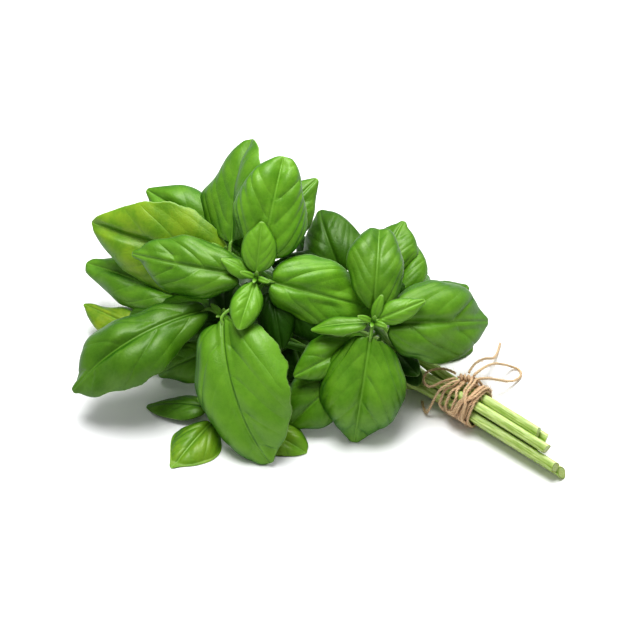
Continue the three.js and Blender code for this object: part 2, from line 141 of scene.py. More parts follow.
def addNode(tree, kind, links=None, **settings):
    # adds one node with its settings, and joins or fills its sockets
    node = tree.nodes.new(kind)
    for key, value in settings.items():
        setattr(node, key, value)
    for key, value in (links or {}).items():
        usable = [s for s in node.inputs if s.enabled]
        socket = usable[key] if isinstance(key, int) else next(s for s in usable if s.name == key)
        if isinstance(value, bpy.types.Node):
            value = firstOutput(value)
        if isinstance(value, bpy.types.NodeSocket):
            tree.links.new(value, socket)
        else:
            socket.default_value = value
    return node


def newMaterial(name, **fixed):
    material = bpy.data.materials.new(name)
    material.use_nodes = True
    shader = material.node_tree.nodes["Principled BSDF"]
    for label, value in fixed.items():
        shader.inputs[label.replace("_", " ")].default_value = value
    return material, material.node_tree, shader


def meshPiece(name, points, faces, attributes=None, edges=()):
    mesh = bpy.data.meshes.new(name)
    mesh.from_pydata(points, edges, faces)
    for label, values in (attributes or {}).items():
        values = np.asarray(values, np.float32)
        if values.ndim == 2:
            layer = mesh.attributes.new(label, "FLOAT_VECTOR", "POINT")
            layer.data.foreach_set("vector", values.ravel())
        else:
            layer = mesh.attributes.new(label, "FLOAT", "POINT")
            layer.data.foreach_set("value", values)
    piece = bpy.data.objects.new(name, mesh)
    bpy.context.scene.collection.objects.link(piece)
    return piece


def joined(name, pieces):
    with bpy.context.temp_override(active_object=pieces[0], object=pieces[0], selected_objects=pieces,
                                   selected_editable_objects=pieces):
        bpy.ops.object.join()
    pieces[0].name = name
    pieces[0].data.name = name
    return pieces[0]


basilGreens = {
    "blade": "#5b8a1c",
    "cloud": "#6f9c2b",
    "net": "#78a834",
    "young": "#80b238",
    "yellowing": "#aab02a",
    "vein": "#86b648",
    "under": "#6d9a45",
    "underVein": "#a3c274",
    "paintedShade": "#2a6409",
    "margin": "#b0cc82",
}


def waxyBasilLeaf():
    # Fresh basil blade: yellow-green tissue under a thin waxy skin, so it shines softly where it bulges. The
    # veins are sunk and a little paler, the rolled margin and the underside are pale and dull. The margin's
    # paleness is partly the underside rolled into view and partly a painted highlight where the edge catches
    # the light. Slopes turned away from the eye and leaves in the shade of others are painted a deeper green
    # as painted shade, and those shaded leaves get a weaker shine.
    material, tree, shader = newMaterial(
        "waxyBasilLeaf", IOR=1.42, Subsurface_Weight=0.1, Subsurface_Scale=0.0008,
        Subsurface_Radius=(0.6, 1.0, 0.15), Coat_Weight=0.12, Coat_Roughness=0.3)
    greens = {part: linearColour(hexText) for part, hexText in basilGreens.items()}
    read = {label: addNode(tree, "ShaderNodeAttribute", attribute_name=label).outputs
            for label in ("leafPlace", "fromMidrib", "fromEdge", "underside", "leafToneAndShade", "veinAt",
                          "veinGap", "veinStrength")}
    place = read["leafPlace"]["Vector"]
    underside, fromEdge = read["underside"]["Fac"], read["fromEdge"]["Fac"]
    tone = addNode(tree, "ShaderNodeSeparateXYZ", {0: read["leafToneAndShade"]["Vector"]}).outputs

    midrib = addNode(tree, "ShaderNodeMapRange", {"Value": read["fromMidrib"]["Fac"], "From Min": 0.7,
                                                  "From Max": 0.2}, interpolation_type="SMOOTHSTEP")
    step = addNode(tree, "ShaderNodeMath", {0: read["veinAt"]["Fac"], 1: 0.5}, operation="PINGPONG")
    away = addNode(tree, "ShaderNodeMath", {0: step, 1: read["veinGap"]["Fac"]}, operation="MULTIPLY")
    line = addNode(tree, "ShaderNodeMapRange", {"Value": away, "From Min": 0.8, "From Max": 0.1},
                   interpolation_type="SMOOTHSTEP")
    faded = addNode(tree, "ShaderNodeMapRange", {"Value": fromEdge, "From Min": 0.4, "From Max": 4.0,
                                                 "To Max": 0.7}, interpolation_type="SMOOTHSTEP")
    strength = addNode(tree, "ShaderNodeMath", {0: faded, 1: read["veinStrength"]["Fac"]},
                       operation="MULTIPLY")
    sideVein = addNode(tree, "ShaderNodeMath", {0: line, 1: strength}, operation="MULTIPLY")
    veins = addNode(tree, "ShaderNodeMath", {0: midrib, 1: sideVein}, operation="MAXIMUM")
    cells = addNode(tree, "ShaderNodeTexVoronoi", {"Vector": place, "Scale": 0.5, "Randomness": 0.9},
                    feature="DISTANCE_TO_EDGE")
    network = addNode(tree, "ShaderNodeMapRange", {"Value": cells, "From Min": 0.16, "From Max": 0.02},
                      interpolation_type="SMOOTHSTEP")  # the fine veins, about 2 mm apart

    # The green varies in clouds about 10 mm wide.
    mottle = addNode(tree, "ShaderNodeTexNoise", {"Vector": place, "Scale": 0.1, "Detail": 3.0,
                                                  "Roughness": 0.6})
    cloud = addNode(tree, "ShaderNodeMapRange", {"Value": mottle, "From Min": 0.32, "From Max": 0.7},
                    interpolation_type="SMOOTHSTEP")
    yellowCloud = addNode(tree, "ShaderNodeMath", {0: cloud, 1: 0.9, 2: 0.35}, operation="MULTIPLY_ADD")
    yellowing = addNode(tree, "ShaderNodeMath", {0: yellowCloud, 1: tone["Y"]}, operation="MULTIPLY")
    netShare = addNode(tree, "ShaderNodeMath", {0: network, 1: 0.12}, operation="MULTIPLY")
    veinShare = addNode(tree, "ShaderNodeMath", {0: veins, 1: 0.4}, operation="MULTIPLY")
    dull = addNode(tree, "ShaderNodeMix", {"Factor": veinShare, "A": greens["under"],
                                           "B": greens["underVein"]}, data_type="RGBA")
    # The rim is painted paler: partly the pale underside of the rolled margin showing, partly a painted
    # highlight where the rolled edge catches the light.
    margin = addNode(tree, "ShaderNodeMapRange", {"Value": fromEdge, "From Min": 0.7, "From Max": 0.15,
                                                  "To Max": 0.5}, interpolation_type="SMOOTHSTEP")
    # Painted shade: where the blade turns away from the eye it is painted a deeper green, standing in for
    # the shade on its slopes.
    slant = addNode(tree, "ShaderNodeLayerWeight", {"Blend": 0.5}).outputs["Facing"]
    paintedShade = addNode(tree, "ShaderNodeMapRange", {"Value": slant, "From Min": 0.2, "From Max": 0.8,
                                                "To Max": 0.8}, interpolation_type="SMOOTHSTEP")
    # Painted shade as well: a leaf given a low brightness, one that lies in the shade of the others, is
    # painted the same deeper green.
    shaded = addNode(tree, "ShaderNodeMapRange", {"Value": tone["X"], "From Min": 0.9, "From Max": 0.4,
                                                  "To Max": 0.85})
    paintedShade = addNode(tree, "ShaderNodeMath", {0: paintedShade, 1: shaded}, operation="MAXIMUM")
    colour = greens["blade"]
    for share, tint in ((cloud, greens["cloud"]), (netShare, greens["net"]),
                        (tone["Z"], greens["young"]), (yellowing, greens["yellowing"]),
                        (veinShare, greens["vein"]), (underside, dull), (paintedShade, greens["paintedShade"]),
                        (margin, greens["margin"])):
        colour = addNode(tree, "ShaderNodeMix", {"Factor": share, "A": colour, "B": tint},
                         data_type="RGBA")
    # Each leaf's brightness, partly random tone and partly painted light and shade for how brightly it is
    # lit.
    colour = addNode(tree, "ShaderNodeHueSaturation", {"Color": colour, "Value": tone["X"]})
    tree.links.new(colour.outputs["Color"], shader.inputs["Base Color"])

    # The skin's grain is about 0.6 mm wide.
    grain = addNode(tree, "ShaderNodeTexNoise", {"Vector": place, "Scale": 1.6, "Detail": 2.0})
    shine = addNode(tree, "ShaderNodeMapRange", {"Value": grain, "From Min": 0.2, "From Max": 0.8,
                                                 "To Min": 0.38, "To Max": 0.5})
    rough = addNode(tree, "ShaderNodeMath", {0: underside, 1: 0.2, 2: shine}, operation="MULTIPLY_ADD")
    tree.links.new(rough.outputs[0], shader.inputs["Roughness"])
    # Painted shade in the shine too: the darker leaves, those lying in the shade of the others, get a weaker
    # shine.
    shineDimmedInShade = addNode(tree, "ShaderNodeMapRange", {"Value": tone["X"], "From Min": 0.35, "From Max": 0.9,
                                                 "To Min": 0.1, "To Max": 0.6})
    tree.links.new(shineDimmedInShade.outputs[0], shader.inputs["Specular IOR Level"])

    # Veins sink on the upper face and stand out on the lower one.
    flip = addNode(tree, "ShaderNodeMath", {0: underside, 1: 2.0, 2: -1.0}, operation="MULTIPLY_ADD")
    relief = addNode(tree, "ShaderNodeMath", {0: network, 1: 0.2, 2: veins}, operation="MULTIPLY_ADD")
    relief = addNode(tree, "ShaderNodeMath", {0: relief, 1: flip}, operation="MULTIPLY")
    height = addNode(tree, "ShaderNodeMath", {0: grain, 1: 0.1, 2: relief}, operation="MULTIPLY_ADD")
    bump = addNode(tree, "ShaderNodeBump", {"Strength": 0.5, "Distance": 0.00028, "Height": height})
    tree.links.new(bump.outputs[0], shader.inputs["Normal"])
    return material


def roundStrand(tree, stretch):
    # how far round a strand each point is, and coordinates that wrap round it without a seam
    around = addNode(tree, "ShaderNodeAttribute", attribute_name="around").outputs["Fac"]
    length = addNode(tree, "ShaderNodeAttribute", attribute_name="pathLength").outputs["Fac"]
    turn = addNode(tree, "ShaderNodeMath", {0: around, 1: 2 * math.pi}, operation="MULTIPLY")
    return turn, addNode(tree, "ShaderNodeCombineXYZ", {
        "X": addNode(tree, "ShaderNodeMath", {0: turn}, operation="COSINE"),
        "Y": addNode(tree, "ShaderNodeMath", {0: turn}, operation="SINE"),
        "Z": addNode(tree, "ShaderNodeMath", {0: length, 1: stretch}, operation="MULTIPLY")})


stemColours = {
    "streak": "#8fac4c",
    "rib": "#d8e6a6",
    "freshStreak": "#5f9a2c",
    "freshRib": "#8dbd50",
    "worn": "#7f9a3f",
    "pith": "#c3cf92",
    "pores": "#a3b56c",
    "rind": "#7d8f3f",
}


def ridgedBasilStem():
    # Fresh basil stem: square, pale and juicy, with fine lengthwise ribs that catch the light.
    material, tree, shader = newMaterial(
        "ridgedBasilStem", IOR=1.42, Roughness=0.42, Subsurface_Weight=0.35, Subsurface_Scale=0.002,
        Subsurface_Radius=(0.8, 1.0, 0.3), Coat_Weight=0.1, Coat_Roughness=0.3)
    _, place = roundStrand(tree, 0.035)  # streaks about 9 mm long
    ripe = addNode(tree, "ShaderNodeAttribute", attribute_name="ripeness").outputs["Fac"]
    streaks = addNode(tree, "ShaderNodeTexNoise", {"Vector": place, "Scale": 3.2, "Detail": 4.0,
                                                   "Roughness": 0.65})
    patches = addNode(tree, "ShaderNodeTexNoise", {"Vector": place, "Scale": 1.1, "Detail": 2.0})
    share = addNode(tree, "ShaderNodeMapRange", {"Value": streaks, "From Min": 0.34, "From Max": 0.68})
    pale = addNode(tree, "ShaderNodeMix", {
        "Factor": share, "A": linearColour(stemColours["streak"]),
        "B": linearColour(stemColours["rib"])}, data_type="RGBA")
    fresh = addNode(tree, "ShaderNodeMix", {
        "Factor": share, "A": linearColour(stemColours["freshStreak"]),
        "B": linearColour(stemColours["freshRib"])}, data_type="RGBA")
    colour = addNode(tree, "ShaderNodeMix", {"Factor": ripe, "A": fresh, "B": pale}, data_type="RGBA")
    worn = addNode(tree, "ShaderNodeMapRange", {"Value": patches, "From Min": 0.55, "From Max": 0.8,
                                                "To Max": 0.35})
    colour = addNode(tree, "ShaderNodeMix", {"Factor": worn, "A": colour,
                                             "B": linearColour(stemColours["worn"])}, data_type="RGBA")
    tree.links.new(firstOutput(colour), shader.inputs["Base Color"])
    bump = addNode(tree, "ShaderNodeBump", {"Strength": 0.5, "Distance": 0.00025, "Height": streaks})
    tree.links.new(bump.outputs[0], shader.inputs["Normal"])
    return material


def freshCutStem():
    # The cut face of a stem: a pale moist pith inside a thin green rind.
    material, tree, shader = newMaterial("freshCutStem", IOR=1.4, Roughness=0.35,
                                         Subsurface_Weight=0.15, Subsurface_Scale=0.001)
    share = addNode(tree, "ShaderNodeAttribute", attribute_name="coreShare").outputs["Fac"]
    place = addNode(tree, "ShaderNodeTexCoord").outputs["Object"]
    pores = addNode(tree, "ShaderNodeTexVoronoi", {"Vector": place, "Scale": 2600.0})  # 0.4 mm
    depth = addNode(tree, "ShaderNodeMapRange", {"Value": pores, "From Max": 0.7})
    pith = addNode(tree, "ShaderNodeMix", {"Factor": depth, "A": linearColour(stemColours["pith"]),
                                           "B": linearColour(stemColours["pores"])}, data_type="RGBA")
    ring = addNode(tree, "ShaderNodeMapRange", {"Value": share, "From Min": 0.72, "From Max": 0.98},
                   interpolation_type="SMOOTHSTEP")
    colour = addNode(tree, "ShaderNodeMix", {"Factor": ring, "A": pith,
                                             "B": linearColour(stemColours["rind"])}, data_type="RGBA")
    tree.links.new(firstOutput(colour), shader.inputs["Base Color"])
    bump = addNode(tree, "ShaderNodeBump", {"Strength": 0.4, "Distance": 0.0001, "Height": pores})
    tree.links.new(bump.outputs[0], shader.inputs["Normal"])
    return material


juteColours = {
    "shade": "#cfae80",
    "pale": "#f8e8c8",
    "pink": "#d69f8c",
    "groove": "#8f6a4a",
}


def spunJute():
    # Natural jute twine: dry tan bast fibres spun into three plies, dull, with paler and pinker strands.
    material, tree, shader = newMaterial("spunJute", Roughness=0.88, Sheen_Weight=0.25,
                                         Sheen_Roughness=0.6, Specular_IOR_Level=0.25)
    turn, place = roundStrand(tree, 0.22)  # fibres about 1 mm long
    fibres = addNode(tree, "ShaderNodeTexNoise", {"Vector": place, "Scale": 4.5, "Detail": 5.0,
                                                  "Roughness": 0.7})
    tint = addNode(tree, "ShaderNodeTexNoise", {"Vector": place, "Scale": 0.9, "Detail": 1.0})
    wound = addNode(tree, "ShaderNodeAttribute", attribute_name="ripeness").outputs["Fac"]
    share = addNode(tree, "ShaderNodeMapRange", {"Value": fibres, "From Min": 0.33, "From Max": 0.7})
    tan = addNode(tree, "ShaderNodeMix", {"Factor": share, "A": linearColour(juteColours["shade"]),
                                          "B": linearColour(juteColours["pale"])}, data_type="RGBA")
    pink = addNode(tree, "ShaderNodeMapRange", {"Value": tint, "From Min": 0.45, "From Max": 0.7,
                                                "To Min": 0.05, "To Max": 0.4})
    pink = addNode(tree, "ShaderNodeMath", {0: pink, 1: wound}, operation="MULTIPLY")
    colour = addNode(tree, "ShaderNodeMix", {"Factor": pink, "A": tan,
                                             "B": linearColour(juteColours["pink"])}, data_type="RGBA")
    # Painted shade: the grooves between the three plies are painted darker, standing in for the shade that
    # lies in them.
    plies = addNode(tree, "ShaderNodeMath", {0: turn, 1: 3.0}, operation="MULTIPLY")
    lobe = addNode(tree, "ShaderNodeMath", {0: plies}, operation="COSINE")
    groove = addNode(tree, "ShaderNodeMapRange", {"Value": lobe, "From Min": -0.4, "From Max": -1.0,
                                                  "To Max": 0.55})
    colour = addNode(tree, "ShaderNodeMix", {"Factor": groove, "A": colour,
                                             "B": linearColour(juteColours["groove"])}, data_type="RGBA")
    tree.links.new(firstOutput(colour), shader.inputs["Base Color"])
    bump = addNode(tree, "ShaderNodeBump", {"Strength": 0.7, "Distance": 0.0002, "Height": fibres})
    tree.links.new(bump.outputs[0], shader.inputs["Normal"])
    return material


def whiteTabletop():
    # Smooth white painted board, matt and even.
    material, tree, shader = newMaterial("whiteTabletop", Roughness=0.6, Specular_IOR_Level=0.2)
    place = addNode(tree, "ShaderNodeTexCoord").outputs["Object"]
    cloud = addNode(tree, "ShaderNodeTexNoise", {"Vector": place, "Scale": 6.0, "Detail": 2.0})
    colour = addNode(tree, "ShaderNodeMix", {"Factor": cloud, "A": linearColour("#f9f9fb"),
                                             "B": linearColour("#fdfdfe")}, data_type="RGBA")
    tree.links.new(firstOutput(colour), shader.inputs["Base Color"])
    return material


leafMaterial = waxyBasilLeaf()
stemMaterial = ridgedBasilStem()
cutMaterial = freshCutStem()
juteMaterial = spunJute()
print("materials made")


stage = {
    "target": (-0.0045, 0.00877, 0.0291),
    "azimuth": 24,
    "elevation": 47,
    "distance": 0.9,
    "lens": 112.5,
    "floorSize": 6.0,
    "skyStrength": 0.3,
    "keyPower": 14.0,
    "keyPlace": (-0.22, 0.16, 1.4),
    "keySize": 0.8,
    "fillPower": 8.5,
    "fillPlace": (0.09, 1.03, 1.2),
    "fillSize": 1.2,
}


def aimed(name, data, place, target):
    thing = bpy.data.objects.new(name, data)
    bpy.context.scene.collection.objects.link(thing)
    thing.location = place
    way = np.array(target) - np.array(place)
    flat = math.hypot(way[0], way[1])
    thing.rotation_euler = (math.atan2(flat, -way[2]), 0, math.atan2(way[1], way[0]) - math.pi / 2)
    return thing


def setStage():
    scene = bpy.context.scene
    az, el = math.radians(stage["azimuth"]), math.radians(stage["elevation"])
    away = np.array([math.sin(az) * math.cos(el), -math.cos(az) * math.cos(el), math.sin(el)])
    lens = bpy.data.cameras.new("camera")
    lens.lens = stage["lens"]
    lens.sensor_width = 36
    lens.clip_start = 0.05
    scene.camera = aimed("camera", lens, np.array(stage["target"]) + away * stage["distance"],
                         stage["target"])
    for name in ("key", "fill"):
        lamp = bpy.data.lights.new(name, "AREA")
        lamp.shape = "DISK"
        lamp.size = stage[name + "Size"]
        lamp.energy = stage[name + "Power"]
        aimed(name, lamp, stage[name + "Place"], (0, 0, 0.03))
    world = bpy.data.worlds.new("softSky")
    world.use_nodes = True
    sky = world.node_tree.nodes["Background"]
    sky.inputs["Color"].default_value = (1, 1, 1, 1)
    sky.inputs["Strength"].default_value = stage["skyStrength"]
    scene.world = world
    scene.view_settings.view_transform = "Standard"
    scene.view_settings.look = "High Contrast"
    half = stage["floorSize"] / 2
    corners = [(-half, -half, 0), (half, -half, 0), (half, half, 0), (-half, half, 0)]
    floor = meshPiece("tabletop", corners, [(0, 1, 2, 3)])
    floor.data.materials.append(whiteTabletop())


setStage()
print("stage set")


def newTree(name, sizes):
    tree = bpy.data.node_groups.new(name, "GeometryNodeTree")
    tree.interface.new_socket("Geometry", in_out="INPUT", socket_type="NodeSocketGeometry")
    for label, (kind, value) in sizes.items():
        socket = tree.interface.new_socket(label, in_out="INPUT", socket_type="NodeSocket" + kind)
        if value is not None:
            socket.default_value = value
    tree.interface.new_socket("Geometry", in_out="OUTPUT", socket_type="NodeSocketGeometry")
    return tree, addNode(tree, "NodeGroupInput"), addNode(tree, "NodeGroupOutput")


def liftedClear(tree, geometry, lowest):
    # raises whatever would pass through the table
    place = addNode(tree, "ShaderNodeSeparateXYZ", {0: addNode(tree, "GeometryNodeInputPosition")})
    height = addNode(tree, "ShaderNodeMath", {0: place.outputs["Z"], 1: lowest}, operation="MAXIMUM")
    raised = addNode(tree, "ShaderNodeCombineXYZ", {"X": place.outputs["X"], "Y": place.outputs["Y"],
                                                    "Z": height})
    return addNode(tree, "GeometryNodeSetPosition", {"Geometry": geometry, "Position": raised})


def endTree(tree, geometry, material, result):
    smooth = addNode(tree, "GeometryNodeSetShadeSmooth", {"Geometry": geometry})
    real = addNode(tree, "GeometryNodeRealizeInstances", {"Geometry": smooth})
    painted = addNode(tree, "GeometryNodeSetMaterial", {"Geometry": real, "Material": material})
    tree.links.new(painted.outputs[0], result.inputs[0])
    return tree


def sweepTree():
    # sweeps a lobed section along each path; its turning about the path gives a twine its lay
    tree, given, result = newTree("sweptStrand", {
        "Sides": ("Int", 12), "Lobes": ("Float", 4.0), "Lobe depth": ("Float", 0.06),
        "Ribs": ("Float", 12.0), "Rib depth": ("Float", 0.015), "Lay": ("Float", 1000.0),
        "Lowest": ("Float", 0.0), "Material": ("Material", None)})
    size = given.outputs
    share = addNode(tree, "GeometryNodeSplineParameter").outputs["Factor"]
    turn = addNode(tree, "ShaderNodeMath", {0: share, 1: 2 * math.pi}, operation="MULTIPLY")
    depth = 0.0
    for count, reach in (("Lobes", "Lobe depth"), ("Ribs", "Rib depth")):
        angle = addNode(tree, "ShaderNodeMath", {0: turn, 1: size[count]}, operation="MULTIPLY")
        wave = addNode(tree, "ShaderNodeMath", {0: angle}, operation="COSINE")
        lower = addNode(tree, "ShaderNodeMath", {0: wave, 1: 0.5, 2: -0.5}, operation="MULTIPLY_ADD")
        depth = addNode(tree, "ShaderNodeMath", {0: lower, 1: size[reach], 2: depth},
                        operation="MULTIPLY_ADD")
    circle = addNode(tree, "GeometryNodeCurvePrimitiveCircle", {"Resolution": size["Sides"],
                                                                "Radius": 1.0}, mode="RADIUS")
    offset = addNode(tree, "ShaderNodeVectorMath", {0: addNode(tree, "GeometryNodeInputPosition"),
                                                    "Scale": depth}, operation="SCALE")
    section = addNode(tree, "GeometryNodeSetPosition", {"Geometry": circle, "Offset": offset})
    section = addNode(tree, "GeometryNodeStoreNamedAttribute", {
        "Geometry": section, "Name": "around", "Value": share}, data_type="FLOAT", domain="POINT")

    path = addNode(tree, "GeometryNodeMeshToCurve", {"Mesh": size["Geometry"]})
    length = addNode(tree, "GeometryNodeInputNamedAttribute", {"Name": "pathLength"}, data_type="FLOAT")
    lay = addNode(tree, "ShaderNodeMath", {0: length, 1: size["Lay"]}, operation="DIVIDE")
    tilt = addNode(tree, "ShaderNodeMath", {0: lay, 1: 2 * math.pi}, operation="MULTIPLY")
    path = addNode(tree, "GeometryNodeSetCurveTilt", {"Curve": path, "Tilt": tilt})
    path = addNode(tree, "GeometryNodeStoreNamedAttribute", {
        "Geometry": path, "Name": "strandWay", "Value": addNode(tree, "GeometryNodeInputTangent")},
        data_type="FLOAT_VECTOR", domain="POINT")
    radius = addNode(tree, "GeometryNodeInputNamedAttribute", {"Name": "radiusMm"}, data_type="FLOAT")
    scale = addNode(tree, "ShaderNodeMath", {0: radius, 1: mm}, operation="MULTIPLY")
    swept = addNode(tree, "GeometryNodeCurveToMesh", {"Curve": path, "Profile Curve": section,
                                                      "Scale": scale, "Fill Caps": True})
    return endTree(tree, liftedClear(tree, swept, size["Lowest"]), size["Material"], result)


def fuzzTree():
    # scatters short bent fibres over a strand, most of them lying along it
    tree, given, result = newTree("strayFibres", {
        "Density": ("Float", 2.0e6), "Fibre length": ("Float", 0.0017), "Fibre radius": ("Float", 3.2e-5),
        "Lift": ("Float", 0.5), "Stray": ("Float", 0.6), "Seed": ("Int", 3), "Lowest": ("Float", 0.0),
        "Material": ("Material", None)})
    size = given.outputs
    points = addNode(tree, "GeometryNodeDistributePointsOnFaces", {
        "Mesh": size["Geometry"], "Density": size["Density"], "Seed": size["Seed"]})
    strandWay = addNode(tree, "GeometryNodeInputNamedAttribute", {"Name": "strandWay"},
                        data_type="FLOAT_VECTOR")
    random = addNode(tree, "FunctionNodeRandomValue", {"Min": (-1, -1, -1), "Max": (1, 1, 1),
                                                       "Seed": 11}, data_type="FLOAT_VECTOR")
    stray = addNode(tree, "ShaderNodeVectorMath", {0: random, "Scale": size["Stray"]}, operation="SCALE")
    lift = addNode(tree, "ShaderNodeVectorMath", {0: points.outputs["Normal"], "Scale": size["Lift"]},
                   operation="SCALE")
    way = addNode(tree, "ShaderNodeVectorMath", {0: stray, 1: lift}, operation="ADD")
    way = addNode(tree, "ShaderNodeVectorMath", {0: way, 1: strandWay}, operation="ADD")
    facing = addNode(tree, "FunctionNodeAlignRotationToVector", {"Vector": way}, axis="Z")
    scale = addNode(tree, "FunctionNodeRandomValue", {"Min": 0.35, "Max": 1.25, "Seed": 12},
                    data_type="FLOAT")
    arc = addNode(tree, "GeometryNodeCurveQuadraticBezier", {
        "Resolution": 4, "Start": (0, 0, 0), "Middle": (0.22, 0, 0.55), "End": (0, 0.1, 1)})
    hair = addNode(tree, "GeometryNodeCurvePrimitiveCircle", {"Resolution": 3, "Radius": 1.0},
                   mode="RADIUS")
    thin = addNode(tree, "ShaderNodeMath", {0: size["Fibre radius"], 1: size["Fibre length"]},
                   operation="DIVIDE")
    fibre = addNode(tree, "GeometryNodeCurveToMesh", {"Curve": arc, "Profile Curve": hair,
                                                      "Scale": thin, "Fill Caps": True})
    reach = addNode(tree, "ShaderNodeMath", {0: scale, 1: size["Fibre length"]}, operation="MULTIPLY")
    fuzz = addNode(tree, "GeometryNodeInstanceOnPoints", {
        "Points": points.outputs["Points"], "Instance": fibre, "Rotation": facing, "Scale": reach})
    real = addNode(tree, "GeometryNodeRealizeInstances", {"Geometry": fuzz})
    clear = liftedClear(tree, real, size["Lowest"])
    both = addNode(tree, "GeometryNodeJoinGeometry")
    tree.links.new(clear.outputs[0], both.inputs[0])
    tree.links.new(size["Geometry"], both.inputs[0])
    return endTree(tree, both, size["Material"], result)


sweptStrand = sweepTree()
strayFibres = fuzzTree()


def pathPiece(name, paths):
    # a carrier of open or closed paths, each a list of points in metres with radii in millimetres
    points, edges, lengths, radii, ripeness = [], [], [], [], []
    for path, radius, closed, ripe in paths:
        first = len(points)
        count = len(path)
        points.extend(path.tolist())
        edges.extend((first + i, first + i + 1) for i in range(count - 1))
        if closed:
            edges.append((first + count - 1, first))
        lengths.extend(lengthsOf(path) / mm)
        radii.extend(np.broadcast_to(radius, count))
        ripeness.extend(np.broadcast_to(ripe, count))
    return meshPiece(name, points, [], {"pathLength": lengths, "radiusMm": radii,
                                        "ripeness": ripeness}, edges)


def grown(name, source, *stack):
    # runs the trees on a carrier and keeps the result as a plain mesh
    for tree, values in stack:
        modifier = source.modifiers.new(tree.name, "NODES")
        modifier.node_group = tree
        for item in tree.interface.items_tree:
            if item.in_out == "INPUT" and item.name in values:
                modifier[item.identifier] = values[item.name]
    depsgraph = bpy.context.evaluated_depsgraph_get()
    mesh = bpy.data.meshes.new_from_object(source.evaluated_get(depsgraph), depsgraph=depsgraph)
    bpy.data.objects.remove(source)
    piece = bpy.data.objects.new(name, mesh)
    bpy.context.scene.collection.objects.link(piece)
    return piece


twine = {
    "sides": 15,
    "plies": 3,
    "plyDepth": 0.3,  # share of the radius that the grooves between plies sink
    "lay": 5.2,  # millimetres for one turn of a ply
    "step": 0.42,
    "fuzzPerSquareMetre": 1.6e6,
    "fibreLength": 0.0015,
    "slim": 0.84,  # the spun strand's own radius, as a share of the cord's with its fuzz
    "bowSlim": 0.74,  # and where it hangs free, pulled thin
    "floorGap": 0.00003,
    "bowSeed": 20,
    "tieSeed": 40,
}

# Each strand of the bow: its route, its true length in metres and what its far end does.
bowStrands = {
    "bowLoopRight": {"node": "bow_loop_right", "length": 0.0774, "farEnd": "object", "route": [
        (3.4, 6.3, 18.6), (5.9, 8.5, 19.1), (8.5, 11, 18.8), (11.8, 14.8, 16.5), (15, 18.5, 13),
        (17.8, 21.7, 8.9), (20.5, 24.6, 5), (22.2, 26, 2.7), (24, 26.6, 1.3), (26, 25.8, 0.95),
        (27, 24, 0.95), (26.8, 21.8, 1.05), (25.6, 19.8, 1.3), (23, 17.3, 2.5), (20, 15, 4.8),
        (16.6, 12.4, 8.5), (13, 9.6, 12.4), (10.5, 7.7, 15.1), (8, 6, 17), (5.7, 4.7, 18.1),
        (3.5, 3.7, 18.3)]},
    "bowLoopLeft": {"node": "bow_loop_left", "length": 0.0352, "farEnd": "object", "route": [
        (-4.4, 7.6, 18.5), (-6.4, 9, 18.6), (-8.5, 10.2, 18.4), (-11, 11.1, 17.9), (-13.5, 11.3, 17.2),
        (-15.8, 10.7, 16.9), (-17.4, 9.4, 16.8), (-18.5, 7.6, 16.3), (-18.6, 5.6, 15.5),
        (-17.8, 4, 15.1), (-16.2, 3, 15), (-14.4, 2.9, 15.6), (-12.5, 3.4, 16.4), (-10.3, 4, 17.3),
        (-8, 4.3, 18), (-6.3, 4.6, 18.4), (-4.6, 4.8, 18.4)]},
    "bowTailBack": {"node": "bow_tail_back", "length": 0.0443, "farEnd": "bare", "route": [
        (1.4, 8.1, 18.6), (2.8, 10.4, 19.1), (4.5, 13, 19), (6.9, 16.7, 17), (9.5, 20.5, 14),
        (11.8, 24.3, 10), (14, 28, 6), (14.8, 29.9, 4.3), (15.4, 31.5, 3.1), (16, 33.1, 2.1),
        (16.7, 35, 1.4), (17.3, 36.9, 1), (17.8, 38.7, 0.9), (18.3, 40.5, 0.9), (18.7, 42, 0.9)]},
    "bowTailFront": {"node": "bow_tail_front", "length": 0.0336, "farEnd": "bare", "route": [
        (-3, 2.5, 19.5), (-4.7, 1.8, 19.9), (-6.5, 1.2, 19.8), (-8.9, 0.6, 18.7), (-11.2, 0, 17),
        (-13, -0.5, 13.7), (-14.4, -1, 10), (-15.5, -1.4, 6.8), (-16.4, -1.6, 4), (-17, -1.2, 2.2),
        (-17.5, -0.2, 1.2), (-18, 1.4, 0.9), (-18.4, 3, 0.88), (-18.6, 4.6, 0.88),
        (-18.7, 6.2, 0.88)]},
}


def evenly(path, step):
    count = max(3, int(round(lengthsOf(path)[-1] / step)))
    return atShare(path, np.linspace(0, 1, count + 1))


def twinePiece(name, paths, seed, slim, wound):
    # wound is how much pinker its fibres are, from 0 to 1: the tie's own turns are the pinkest
    carrier = pathPiece(name, [(toPart(path), radius * slim, closed, wound)
                               for path, radius, closed in paths])
    return grown(
        name, carrier,
        (sweptStrand, {"Sides": twine["sides"], "Lobes": float(twine["plies"]),
                       "Lobe depth": twine["plyDepth"], "Rib depth": 0.0, "Lay": twine["lay"],
                       "Lowest": twine["floorGap"], "Material": juteMaterial}),
        (strayFibres, {"Density": twine["fuzzPerSquareMetre"], "Fibre length": twine["fibreLength"],
                       "Seed": seed, "Lowest": twine["floorGap"], "Material": juteMaterial}))


def makeBow():
    for number, (name, strand) in enumerate(bowStrands.items()):
        route = smoothPath(strand["route"])
        print(f"{name}: {lengthsOf(route)[-1]:.1f} mm")
        piece = twinePiece(name, [(evenly(route, twine["step"]), twineRadius, False)],
                           twine["bowSeed"] + number, twine["bowSlim"], 0.3)
        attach(piece, "root")
        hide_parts(strand["node"])


makeBow()
print("bow made")

